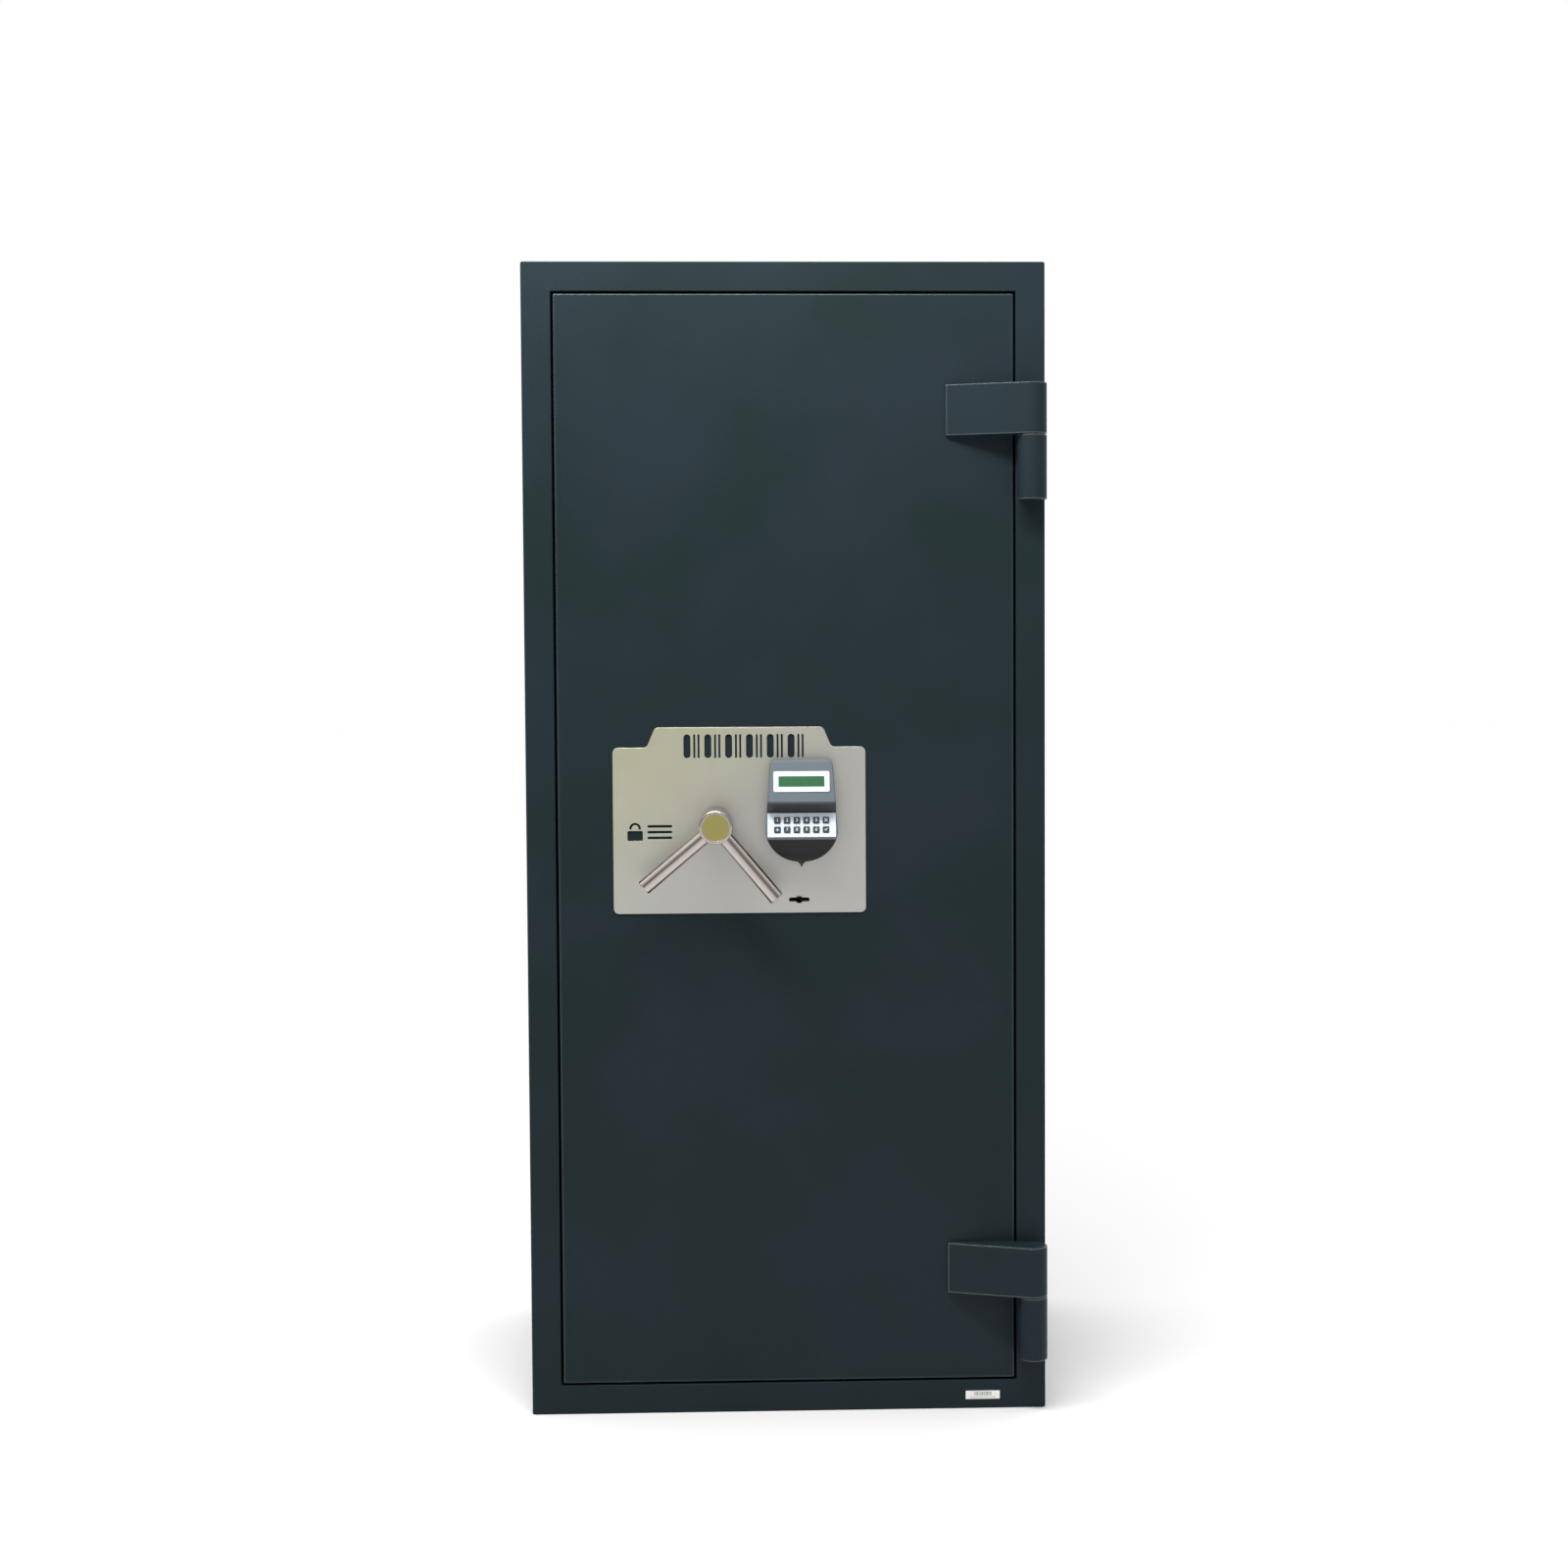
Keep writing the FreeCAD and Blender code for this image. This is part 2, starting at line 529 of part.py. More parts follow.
def pad_profile(thinner=0.0):
    """The keypad from the side: a display face over a step, a tilted key face, and a foot that curves back.
    A thinner profile lies inside the full one by a wall's thickness."""
    def at(height, reach):
        return V(PAD_X - 60, SHIELD_FRONT - reach + thinner, height)

    foot = PAD_LOW - 1
    corners = [at(foot, -thinner - 1), at(PAD_TOP + 1, -thinner - 1), at(PAD_TOP + 1, 20), at(*DISPLAY_HIGH),
               at(*DISPLAY_LOW), at(*PANEL_HIGH), at(*PANEL_LOW)]
    runs = [Part.LineSegment(a, b).toShape() for a, b in zip(corners, corners[1:])]
    chin = Part.Arc(corners[-1], at(*CHIN), at(foot, CHIN_FOOT)).toShape()
    closing = Part.LineSegment(at(foot, CHIN_FOOT), corners[0]).toShape()
    return Part.Face(Part.Wire(runs + [chin, closing])).extrude(V(120, 0, 0))


def pad_outline(inset, y0, y1):
    """The keypad seen from the front: tapered sides over a half-round end, pushed along Y."""
    half_top, half, low = PAD_HALF_TOP - inset, PAD_HALF - inset, PAD_LOW + inset
    top = PAD_TOP - inset
    a, b = V(PAD_X - half_top, y0, top), V(PAD_X + half_top, y0, top)
    c, d = V(PAD_X + half, y0, PAD_WIDE), V(PAD_X - half, y0, PAD_WIDE)
    edges = [Part.LineSegment(a, b).toShape(), Part.LineSegment(b, c).toShape(),
             Part.Arc(c, V(PAD_X, y0, low), d).toShape(), Part.LineSegment(d, a).toShape()]
    shape = Part.Face(Part.Wire(edges)).extrude(V(0, y1 - y0, 0))
    return rounded(shape, max(6.0 - inset, 1.0), lambda m, t: near(abs(t.y), 1) and m.z > PAD_TOP - 5 - inset)


def tilted(high, low):
    """Unit vectors of a tilted face of the keypad: down along it, and out of it."""
    down = V(0, -(low[1] - high[1]), low[0] - high[0])
    down.normalize()
    out = V(0, down.z, -down.y)
    return down, out


def on_face(high, low, share, out_by=0.0):
    """A point on the middle line of a tilted face, share 0 at its top and 1 at its foot."""
    down, out = tilted(high, low)
    start = V(PAD_X, SHIELD_FRONT - high[1], high[0])
    end = V(PAD_X, SHIELD_FRONT - low[1], low[0])
    return start + (end - start) * share + out * out_by


def block_on_face(high, low, share, across, width, length, sunk, proud, corner=0.0):
    """A block lying in a tilted face, from sunk below it to proud above it."""
    down, out = tilted(high, low)
    middle = on_face(high, low, share, -sunk) + V(across, 0, 0)
    corners = [middle + V(sx * width / 2, 0, 0) + down * (sz * length / 2)
               for sx, sz in ((-1, -1), (1, -1), (1, 1), (-1, 1))]
    block = Part.Face(Part.makePolygon(corners + corners[:1])).extrude(out * (sunk + proud))
    if corner:
        block = rounded(block, corner, lambda m, t: near(abs(t.dot(out)), 1))
    return block


def key_block(share, across, size, sunk, proud, corner=0.0):
    """A square block at one key's place."""
    return block_on_face(PANEL_HIGH, PANEL_LOW, share, across, size, size, sunk, proud, corner)


def key_places():
    """Share along the key face, distance across, and the name of each key."""
    down_length = math.dist(PANEL_HIGH, PANEL_LOW)
    names = [str(n) for n in (1, 2, 3, 4, 5)] + ["clear"] + [str(n) for n in (6, 7, 8, 9, 0)] + ["enter"]
    places = []
    for i, name in enumerate(names):
        row, column = divmod(i, 6)
        share = 0.5 + (row - 0.5) * KEY_PITCH_Z / down_length
        places.append((share, (column - 2.5) * KEY_PITCH_X, name))
    return places


def keypad_shell():
    """The whole hollow keypad, with its openings for the display and the keys."""
    y0, y1 = SHIELD_FRONT - 60, SHIELD_FRONT
    outer = pad_outline(0, y0, y1).common(pad_profile())
    inner = pad_outline(PAD_WALL, y0, y1 + 1).common(pad_profile(PAD_WALL * 1.1))
    outer = rounded(outer, 1.6, lambda m, t: m.y < SHIELD_FRONT - 1 and not near(abs(t.y), 1)
                    and (not near(abs(t.x), 1) or near(m.z, PANEL_LOW[0])))
    shell = outer.cut(inner)
    shell = shell.cut(block_on_face(DISPLAY_HIGH, DISPLAY_LOW, DISPLAY_SHARE, 0, 60, 15.4, 6, 3))
    for share, across, _ in key_places():
        shell = shell.cut(key_block(share, across, KEY_SIZE + 0.8, 6, 3))
    return shell


def keypad_part(z0, z1):
    """The stretch of the keypad between two heights."""
    reach = PAD_HALF + 10
    stretch = box(PAD_X - reach, PAD_X + reach, SHIELD_FRONT - 60, SHIELD_FRONT + 1, z0, z1)
    return keypad_shell().common(stretch)


def key_panel():
    length = math.dist(PANEL_HIGH, PANEL_LOW)
    panel = block_on_face(PANEL_HIGH, PANEL_LOW, 0.5, 0, 88, length - 1.4, 0, 0.8, 1.0)
    for share, across, _ in key_places():
        panel = panel.cut(key_block(share, across, KEY_SIZE + 0.6, 1, 2, 1.2))
    return panel


def keypad_key(share, across):
    down, out = tilted(PANEL_HIGH, PANEL_LOW)
    cap = key_block(share, across, KEY_SIZE, 4.0, 2.6, 1.0)
    front = on_face(PANEL_HIGH, PANEL_LOW, share, 2.6)
    return rounded(cap, 0.5, lambda m, t: abs((m - front).dot(out)) < 1e-3)


def display_bezel():
    bezel = block_on_face(DISPLAY_HIGH, DISPLAY_LOW, DISPLAY_SHARE, 0, 72, 27.4, 0, 1.0, 2.0)
    return bezel.cut(block_on_face(DISPLAY_HIGH, DISPLAY_LOW, DISPLAY_SHARE, 0, 59.2, 14.2, 1, 2, 0.6))


def display_window():
    return block_on_face(DISPLAY_HIGH, DISPLAY_LOW, DISPLAY_SHARE, 0, 59.0, 14.0, 1.5, 0.5, 0.6)


def battery_catch():
    """The small catch under the keypad that frees its battery drawer."""
    stem = box(PAD_X - 1.3, PAD_X + 1.3, SHIELD_FRONT - 6, SHIELD_FRONT - 2, PAD_LOW - 6, PAD_LOW)
    head = box(PAD_X - 4, PAD_X + 4, SHIELD_FRONT - 8, SHIELD_FRONT - 1, PAD_LOW - 2.2, PAD_LOW)
    return fused([stem, head]).cut(pad_outline(-0.05, SHIELD_FRONT - 20, SHIELD_FRONT))


# ---------------------------------------------------------------- boltwork

def involute(base_r, radius):
    """Angle unrolled by an involute from its base circle to a radius."""
    t = math.sqrt(max((radius / base_r) ** 2 - 1, 0))
    return t - math.atan(t)


def pinion():
    """A 20-degree involute pinion with a tooth on each axis of the door."""
    base_r, tip_r, root_r = PITCH_R * math.cos(math.radians(20)), PITCH_R + MODULE, PITCH_R - 1.25 * MODULE
    half = (math.pi * MODULE / 2 - BACKLASH / 2) / 2 / PITCH_R
    radii = [base_r + (tip_r - base_r) * i / 6 for i in range(7)]
    flank = [(r, half + involute(base_r, PITCH_R) - involute(base_r, r)) for r in radii]
    tooth = [(root_r, flank[0][1])] + flank
    points = []
    for i in range(TEETH):
        middle = 2 * math.pi * i / TEETH
        points += [(r, middle - a) for r, a in tooth] + [(r, middle + a) for r, a in reversed(tooth)]
    y0, y1 = deep(FRONT_LAYER[0] - 0.5), deep(BACK_LAYER[1] + 0.5)
    gear = prism([(HUB_X + r * math.cos(a), y0, HUB_Z + r * math.sin(a)) for r, a in points], (0, y1 - y0, 0))
    return gear.cut(rod(SPINDLE_R, (HUB_X, y0 - 1, HUB_Z), (HUB_X, y1 + 1, HUB_Z)))


def rack_outline(start, end):
    """Rack teeth as along and height pairs: height 0 is the pitch line, and a gap is centred on along 0."""
    pitch, slope = math.pi * MODULE, math.tan(math.radians(20))
    thick = pitch / 2 - BACKLASH / 2
    tip, root = MODULE, -1.25 * MODULE
    first, last = math.ceil(start / pitch - 0.5), math.floor(end / pitch - 0.5)
    points = []
    for i in range(first, last):
        middle = (i + 0.5) * pitch
        wide, narrow = thick / 2 - root * slope, thick / 2 - tip * slope
        points += [(middle - wide, root), (middle - narrow, tip)]
        points += [(middle + narrow, tip), (middle + wide, root)]
    return points


def toothed_bar(along0, along1, teeth0, teeth1, width, layer, place):
    """A flat bar with rack teeth on one edge. place turns along and height into X and Z."""
    teeth = rack_outline(teeth0, teeth1)
    root = -1.25 * MODULE
    points = [(along0, root)] + teeth + [(along1, root), (along1, root - width), (along0, root - width)]
    y0, y1 = deep(layer[0]), deep(layer[1])
    return prism([(place(*p)[0], y0, place(*p)[1]) for p in points], (0, y1 - y0, 0))


def side_carriage():
    """An angle that carries the side bolts, with a rack that runs under the pinion."""
    low, high = SIDE_BOLT_Z[0] - 40, SIDE_BOLT_Z[-1] + 40
    y0 = deep(FRONT_LAYER[0])
    flat = box(CARRIAGE_X, CARRIAGE_X + ANGLE_W, y0, y0 + ANGLE_T, low, high)
    upright = box(CARRIAGE_X, CARRIAGE_X + ANGLE_T, y0 + ANGLE_T, deep(BOLT_Y + 15), low, high)
    left = CARRIAGE_X + ANGLE_W - HUB_X
    rack = toothed_bar(left, THROW + 16, -14, THROW + 14, 18, FRONT_LAYER,
                       lambda along, height: (HUB_X + along, HUB_Z - PITCH_R + height))
    return fused([flat, upright, rack])


def side_bolts():
    y, tip = deep(BOLT_Y), -(DOOR_X - BOX_INSET) - BOLT_PROUD
    bolts = [rod(BOLT_R, (tip, y, z), (CARRIAGE_X, y, z)) for z in SIDE_BOLT_Z]
    return [rounded(bolt, 2.0, lambda m, t: near(m.x, tip)) for bolt in bolts]


def end_rod(up):
    """The upright rod and cross angle behind the top or bottom bolts; its rack stands beside the pinion."""
    sign = 1 if up else -1
    edge = HEIGHT - (FRAME_W + GAP + BOX_INSET) if up else FRAME_W + GAP + BOX_INSET
    cross = edge - sign * END_ANGLE_IN
    far = (cross - HUB_Z) * sign
    if up:
        def place(along, height):
            return HUB_X - PITCH_R + height, HUB_Z + along

        bar = toothed_bar(-THROW - 16, far, -THROW - 14, 14, ROD_W, BACK_LAYER, place)
    else:
        def place(along, height):
            return HUB_X + PITCH_R - height, HUB_Z + along

        bar = toothed_bar(-far, LOCKS["electronic"] + 56 - HUB_Z, -14, THROW + 14, ROD_W, BACK_LAYER, place)
    y0, x = deep(BACK_LAYER[0]), END_BOLT_X[-1] + 30
    web = box(-x, x, y0, y0 + ANGLE_T, *sorted((cross, cross - sign * ANGLE_W)))
    ledge = box(-x, x, deep(BOLT_Y - 15), deep(BOLT_Y + 15), *sorted((cross, cross + sign * ANGLE_T)))
    angle = fused([web, ledge])
    return [bar.cut(angle), angle]


def catch_blocks():
    """Blocks welded along the bottom rod. The latches enter the gaps between them, drawn back or thrown."""
    start = HUB_X + PITCH_R + 1.25 * MODULE + ROD_W
    gap = LATCH_H / 2 + 1.2
    blocks = []
    for centre in LOCKS.values():
        spans = [(centre - gap - BLOCK_H, centre - gap), (centre + gap, centre + THROW - gap),
                 (centre + THROW + gap, centre + THROW + gap + BLOCK_H)]
        depth = (deep(BACK_LAYER[0]), deep(BACK_LAYER[1]))
        blocks += [box(start, start + BLOCK_W, *depth, *span) for span in spans]
    return blocks


def end_bolts(up):
    sign = 1 if up else -1
    edge = HEIGHT - (FRAME_W + GAP + BOX_INSET) if up else FRAME_W + GAP + BOX_INSET
    y, tip, foot = deep(BOLT_Y), edge + sign * BOLT_PROUD, edge - sign * (END_ANGLE_IN - ANGLE_T)
    bolts = [rod(BOLT_R, (x, y, foot), (x, y, tip)) for x in END_BOLT_X]
    return [rounded(bolt, 2.0, lambda m, t: near(m.z, tip)) for bolt in bolts]


# ---------------------------------------------------------------- handle

def handle_hub():
    front, back = SHIELD_FRONT - HUB_FRONT, SHIELD_FRONT - HUB_BACK
    hub = rod(HUB_R, (HUB_X, front, HUB_Z), (HUB_X, back, HUB_Z))
    hub = rounded(hub, 2.2, lambda m, t: near(m.y, front))
    recess = rod(DISC_R, (HUB_X, front - 1, HUB_Z), (HUB_X, front + 1.2, HUB_Z))
    return without(hub, [recess, spindle()] + handle_grips())


def hub_disc():
    front = SHIELD_FRONT - HUB_FRONT
    return rod(DISC_R, (HUB_X, front + 0.2, HUB_Z), (HUB_X, front + 1.2, HUB_Z))


def handle_grips():
    y = SHIELD_FRONT - GRIP_OUT
    grips = []
    for angle in GRIP_ANGLES:
        along = V(math.cos(math.radians(angle)), 0, math.sin(math.radians(angle)))
        start, end = V(HUB_X, y, HUB_Z) + along * (HUB_R - 9), V(HUB_X, y, HUB_Z) + along * GRIP_REACH
        grip = Part.makeCylinder(GRIP_R, (end - start).Length, start, along)
        grips.append(rounded(grip, 1.2, lambda m, t: abs((m - end).dot(along)) < 1e-3))
    return grips


def spindle():
    return rod(SPINDLE_R, (HUB_X, SHIELD_FRONT - 24, HUB_Z), (HUB_X, deep(BACK_LAYER[1] + 6), HUB_Z))


# ---------------------------------------------------------------- the whole safe

def main():
    os.makedirs(OUT, exist_ok=True)
    save("outer_shell", *outer_shell())
    save("front_frame", *front_frame())
    save("frame_return", *frame_return())
    save("door_stop", *door_stop())
    save("door_seal", *door_seal())
    save("inner_liner", *inner_liner())
    save("wall_boards", *wall_boards())
    save("anchor_sleeves", *anchor_sleeves())
    save("floor_mat", floor_mat())
    save("shelf", shelf())
    save("shelf_rails", *shelf_rails())
    save("gun_rack", gun_rack())
    save("label", label())
    save("hinge_barrels", *[hinge_barrel(foot) for foot in HINGE_FEET])
    save("hinge_straps", *[hinge_strap(foot) for foot in HINGE_FEET])
    save("hinge_pins", *[hinge_pin(foot) for foot in HINGE_FEET])
    save("thrust_washers", *[thrust_washer(foot) for foot in HINGE_FEET])

    save("door_plate", door_plate())
    save("door_pan", door_pan())
    save("door_board", door_board())
    save("bolt_box", *bolt_box())
    save("back_cover", back_cover())
    save("cover_screws", *cover_screws())
    save("dead_bolts", *dead_bolts())
    save("hard_plate", hard_plate())
    save("spindle_bush", spindle_bush())
    save("cover_plate", shield())
    save("lock_cases", lock_case(LOCKS["electronic"], False), lock_case(LOCKS["key"], True))
    save("electronic_lock_bolt", lock_latch(LOCKS["electronic"]))
    save("key_lock_bolt", lock_latch(LOCKS["key"]))
    save("keypad_cable", keypad_cable())

    save("keypad_housing", keypad_part(COVER_LINE, PAD_TOP + 5))
    save("battery_cover", keypad_part(PAD_LOW - 5, COVER_LINE - 0.3))
    save("key_panel", key_panel())
    save("display_bezel", display_bezel())
    save("display_window", display_window())
    save("battery_catch", battery_catch())
    for share, across, name in key_places():
        save(f"key_{name}", keypad_key(share, across))

    save("handle_hub", handle_hub())
    save("hub_disc", hub_disc())
    save("handle_grips", *handle_grips())
    save("spindle", spindle())
    save("pinion", pinion())
    save("side_carriage", side_carriage())
    save("side_bolts", *side_bolts())
    save("top_rod", *end_rod(True))
    save("top_bolts", *end_bolts(True))
    save("bottom_rod", *end_rod(False), *catch_blocks())
    save("bottom_bolts", *end_bolts(False))


main()
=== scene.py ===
import json
import math

import bmesh
import bpy
from mathutils import Matrix, Vector, noise


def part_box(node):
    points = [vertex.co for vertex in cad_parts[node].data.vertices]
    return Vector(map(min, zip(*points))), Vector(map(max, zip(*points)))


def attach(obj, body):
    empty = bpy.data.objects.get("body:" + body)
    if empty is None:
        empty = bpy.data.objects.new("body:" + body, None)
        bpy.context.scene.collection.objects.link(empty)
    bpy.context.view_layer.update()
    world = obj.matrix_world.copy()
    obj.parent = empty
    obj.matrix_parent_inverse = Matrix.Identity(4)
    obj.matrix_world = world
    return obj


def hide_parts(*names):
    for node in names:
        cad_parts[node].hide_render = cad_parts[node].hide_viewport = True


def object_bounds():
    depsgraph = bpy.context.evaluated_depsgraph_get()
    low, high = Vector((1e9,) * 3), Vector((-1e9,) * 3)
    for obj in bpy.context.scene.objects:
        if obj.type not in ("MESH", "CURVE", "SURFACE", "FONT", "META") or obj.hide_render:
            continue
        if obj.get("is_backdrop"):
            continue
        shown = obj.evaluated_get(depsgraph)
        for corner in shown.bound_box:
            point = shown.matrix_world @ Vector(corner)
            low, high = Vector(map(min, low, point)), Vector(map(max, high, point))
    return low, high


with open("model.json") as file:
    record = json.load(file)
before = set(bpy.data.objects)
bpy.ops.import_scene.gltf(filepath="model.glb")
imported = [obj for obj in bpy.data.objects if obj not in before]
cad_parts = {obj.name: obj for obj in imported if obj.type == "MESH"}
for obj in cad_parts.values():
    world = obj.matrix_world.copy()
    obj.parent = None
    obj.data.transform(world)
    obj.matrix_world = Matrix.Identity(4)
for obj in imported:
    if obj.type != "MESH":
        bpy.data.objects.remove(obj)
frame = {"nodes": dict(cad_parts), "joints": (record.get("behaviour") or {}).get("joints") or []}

bl_info = {
    "name": "Gun safe finisher",
    "version": (1, 0, 0),
    "blender": (4, 5, 0),
    "location": "3D View > Sidebar > Safe",
    "description": "Paints, plates and furnishes a double-wall gun safe around its engineering frame",
    "category": "Object",
}

MM = 0.001

BEVEL_SAMPLES = 6
EDGE_BEND = (0.004, 0.04)           # how far a rounded normal leans before an edge gets the painted highlight
# width of the band along edges that gets the painted highlight
HIGHLIGHT_EDGE = 3 * MM
# painted shade: colour and place of the dark band over the keypad's step
STEP_PAINTED_SHADE = (0.014, 0.014, 0.016)
STEP_BELOW_BEZEL = 12.5 * MM
STEP_ABOVE_PANEL = 0.6 * MM
BLACK_PLASTIC = (0.012, 0.012, 0.013)
SLEEVE_GREY = (0.3, 0.3, 0.3)
LABEL_INK = (0.03, 0.03, 0.03)

CELLS_ACROSS, CELL_ROWS = 16, 2
CELL_MARGIN_ACROSS, CELL_MARGIN_UP = 0.04, 0.16
CELL_HALF_ACROSS, CELL_HALF_UP = 0.38, 0.42

LEGEND_REACH = 0.42                 # shares of a digit's height
LEGEND_STROKE = 0.17

MAT_FACE, MAT_CLOUD = 2.2 * MM, 5 * MM
RACK_FACE, RACK_CLOUD, RACK_NAP = 2.5 * MM, 30 * MM, 0.5 * MM
SEAL_WIDTH, SEAL_BEND, SEAL_DEPTH_SHARE = 5.0 * MM, 6 * MM, 0.98
SEAL_ARC_STEPS, SEAL_SIDE_STEPS = 6, 14

# Name, property with its power, place, point that it shines at, width and height
LIGHTS = (
    ("key", "key_power", (-0.3, -1.0, 2.25), (0.0, -0.25, 1.25), 1.3, 0.35),
    ("left fill", "fill_power", (-2.6, -2.0, 1.6), (0.0, -0.2, 0.9), 1.4, 2.2),
    ("right fill", "fill_power", (2.8, -1.6, 1.6), (0.0, -0.2, 0.9), 1.4, 2.2),
)
FLOOR_HALF = 30.0
WALL_BLEND = (-0.12, 0.12)          # forward part of a direction, from the room to the wall
CEILING_BLEND = (0.35, 0.85)        # upward part of a direction, from the wall to the ceiling

CAMERA_X = -0.03066
CAMERA_ROLL = math.radians(-0.2776)
CAMERA_SHIFT = (-0.0329, -0.01138)  # shares of the picture's width
SENSOR_WIDTH = 36.0
FAR_CLIP = 200.0


# ---------------------------------------------------------------- sizes and colours a user may change

def colour(name, description, red, green, blue):
    return bpy.props.FloatVectorProperty(
        name=name, description=description, subtype="COLOR", size=3, min=0.0, max=1.0,
        default=(red, green, blue))


def length(name, description, default):
    return bpy.props.FloatProperty(
        name=name, description=description, unit="LENGTH", min=0.0, default=default)


def amount(name, description, default, top=1.0):
    return bpy.props.FloatProperty(name=name, description=description, min=0.0, max=top, default=default)


class SafePaint(bpy.types.PropertyGroup):
    body: colour("Cabinet paint", "Powder coat on the cabinet, door and hinges", 0.0086, 0.0172, 0.0182)
    body_light: colour("Cabinet paint, bluer", "Where the powder coat drifts to blue", 0.0120, 0.0202, 0.0268)
    # painted highlight: a lighter colour mixed into the paint along edges
    edge_highlight: colour("Rubbed paint", "Powder coat on edges that hands and cloths rub", 0.090, 0.120, 0.135)
    body_roughness: amount("Paint roughness", "How dull the powder coat is", 0.45)
    grain: length("Paint grain", "Width of one bump in the powder coat", 1.5 * MM)
    inside: colour("Interior paint", "Light grey enamel inside", 0.33, 0.345, 0.355)
    edge: length("Eased edge", "Rounding that the light finds on a sharp edge", 0.5 * MM)


class SafeMetal(bpy.types.PropertyGroup):
    plate: colour("Cover plate", "Brushed stainless steel", 0.552, 0.542, 0.500)
    plate_roughness: amount("Cover plate roughness", "How dull the brushing is", 0.42)
    brush: length("Brush line", "Width of one brushed line", 0.35 * MM)
    # bright chrome, tinted pink as a painted reflection of the warm room around it
    chrome: colour("Handle", "Bright chrome on the hub and grips", 0.485, 0.437, 0.411)
    chrome_roughness: amount("Handle roughness", "How dull the chrome is", 0.20)
    gold: colour("Hub disc", "Satin gold disc in the hub", 0.42, 0.385, 0.135)
    zinc: colour("Zinc", "Plated bolts, rods and lock cases", 0.62, 0.63, 0.60)
    steel: colour("Steel", "Bare turned and ground steel", 0.42, 0.41, 0.40)
    brass: colour("Brass", "Bushes, washers and latches", 0.66, 0.50, 0.22)


class SafePlastic(bpy.types.PropertyGroup):
    upper: colour("Keypad, upper", "Slate plastic round the display and keys", 0.088, 0.112, 0.132)
    # painted shade: the keypad's lower part is made near black for the shade on its downward face
    lower: colour("Keypad, lower", "Charcoal plastic of the battery cover", 0.012, 0.0115, 0.0125)
    white: colour("Bezel and key panel", "White printed plastic", 0.66, 0.76, 0.84)
    key: colour("Keys", "Dark grey keycaps", 0.030, 0.034, 0.042)
    legend: colour("Key legends", "Printing on the keycaps", 0.78, 0.82, 0.86)
    glass: colour("Display", "Unlit green liquid-crystal window", 0.020, 0.115, 0.040)
    legend_height: length("Legend height", "Height of a digit on a key", 4.0 * MM)
    legend_rise: length("Legend rise", "How far the printing stands off the key", 0.08 * MM)


class SafeLining(bpy.types.PropertyGroup):
    carpet: colour("Floor carpet", "Needle-felt carpet", 0.030, 0.031, 0.034)
    pile: length("Carpet pile", "Height of the tufts", 0.7 * MM)
    foam: colour("Rack foam", "Flocked foam of the barrel rack", 0.022, 0.023, 0.026)
    rubber: colour("Door seal", "Black rubber seal", 0.016, 0.016, 0.017)
    board: colour("Fire board", "Gypsum board in the walls", 0.52, 0.50, 0.47)
    label: colour("Label", "Coated white label", 0.80, 0.80, 0.79)


class SafeStage(bpy.types.PropertyGroup):
    floor: colour("Floor", "Pale floor under the safe", 0.80, 0.80, 0.80)
    sky: colour("Surroundings", "Colour of the studio wall behind the safe", 1.0, 1.0, 1.0)
    dim: colour("Room", "Colour of the room in front of the safe", 0.29, 0.268, 0.258)
    overhead: amount("Overhead", "Brightness of the studio ceiling", 1.6, 5.0)
    key_power: bpy.props.FloatProperty(name="Key light", description="Soft light above", unit="POWER",
                                       default=36.0)
    fill_power: bpy.props.FloatProperty(name="Fill light", description="Soft side light", unit="POWER",
                                        default=3.0)
    lens: bpy.props.FloatProperty(name="Lens", description="Focal length", unit="CAMERA", default=52.33)
    distance: length("Camera distance", "From the front of the safe", 2.959)
    height: length("Camera height", "Above the floor", 0.98625)
    turn: bpy.props.FloatProperty(name="Camera turn", description="To the right", unit="ROTATION",
                                  default=math.radians(1.8365))
    tilt: bpy.props.FloatProperty(name="Camera tilt", description="Downwards", unit="ROTATION",
                                  default=math.radians(2.6446))


GROUPS = {"safe_paint": SafePaint, "safe_metal": SafeMetal, "safe_plastic": SafePlastic,
          "safe_lining": SafeLining, "safe_stage": SafeStage}


# ---------------------------------------------------------------- shader sheet

class Number:
    """A number that changes over a surface. Arithmetic on it adds Math nodes."""

    def __init__(self, sheet, socket):
        self.sheet = sheet
        self.socket = socket

    def math(self, operation, *values):
        return self.sheet.number("ShaderNodeMath", {"operation": operation}, values)

    def __add__(self, other):
        return self.math("ADD", self, other)

    def __sub__(self, other):
        return self.math("SUBTRACT", self, other)

    def __rsub__(self, other):
        return self.math("SUBTRACT", other, self)

    def __mul__(self, other):
        return self.math("MULTIPLY", self, other)

    def __truediv__(self, other):
        return self.math("DIVIDE", self, other)

    def __rtruediv__(self, other):
        return self.math("DIVIDE", other, self)

    def __pow__(self, other):
        return self.math("POWER", self, other)

    def __gt__(self, other):
        return self.math("GREATER_THAN", self, other)

    def __lt__(self, other):
        return self.math("LESS_THAN", self, other)

    __radd__ = __add__
    __rmul__ = __mul__

    def sine(self):
        return self.math("SINE", self)

    def fraction(self):
        return self.math("FRACT", self)

    def size(self):
        return self.math("ABSOLUTE", self)

    def root(self):
        return self.math("SQRT", self)

    def within(self, low, high):
        """1 between low and high, 0 outside."""
        return (self > low) * (self < high)


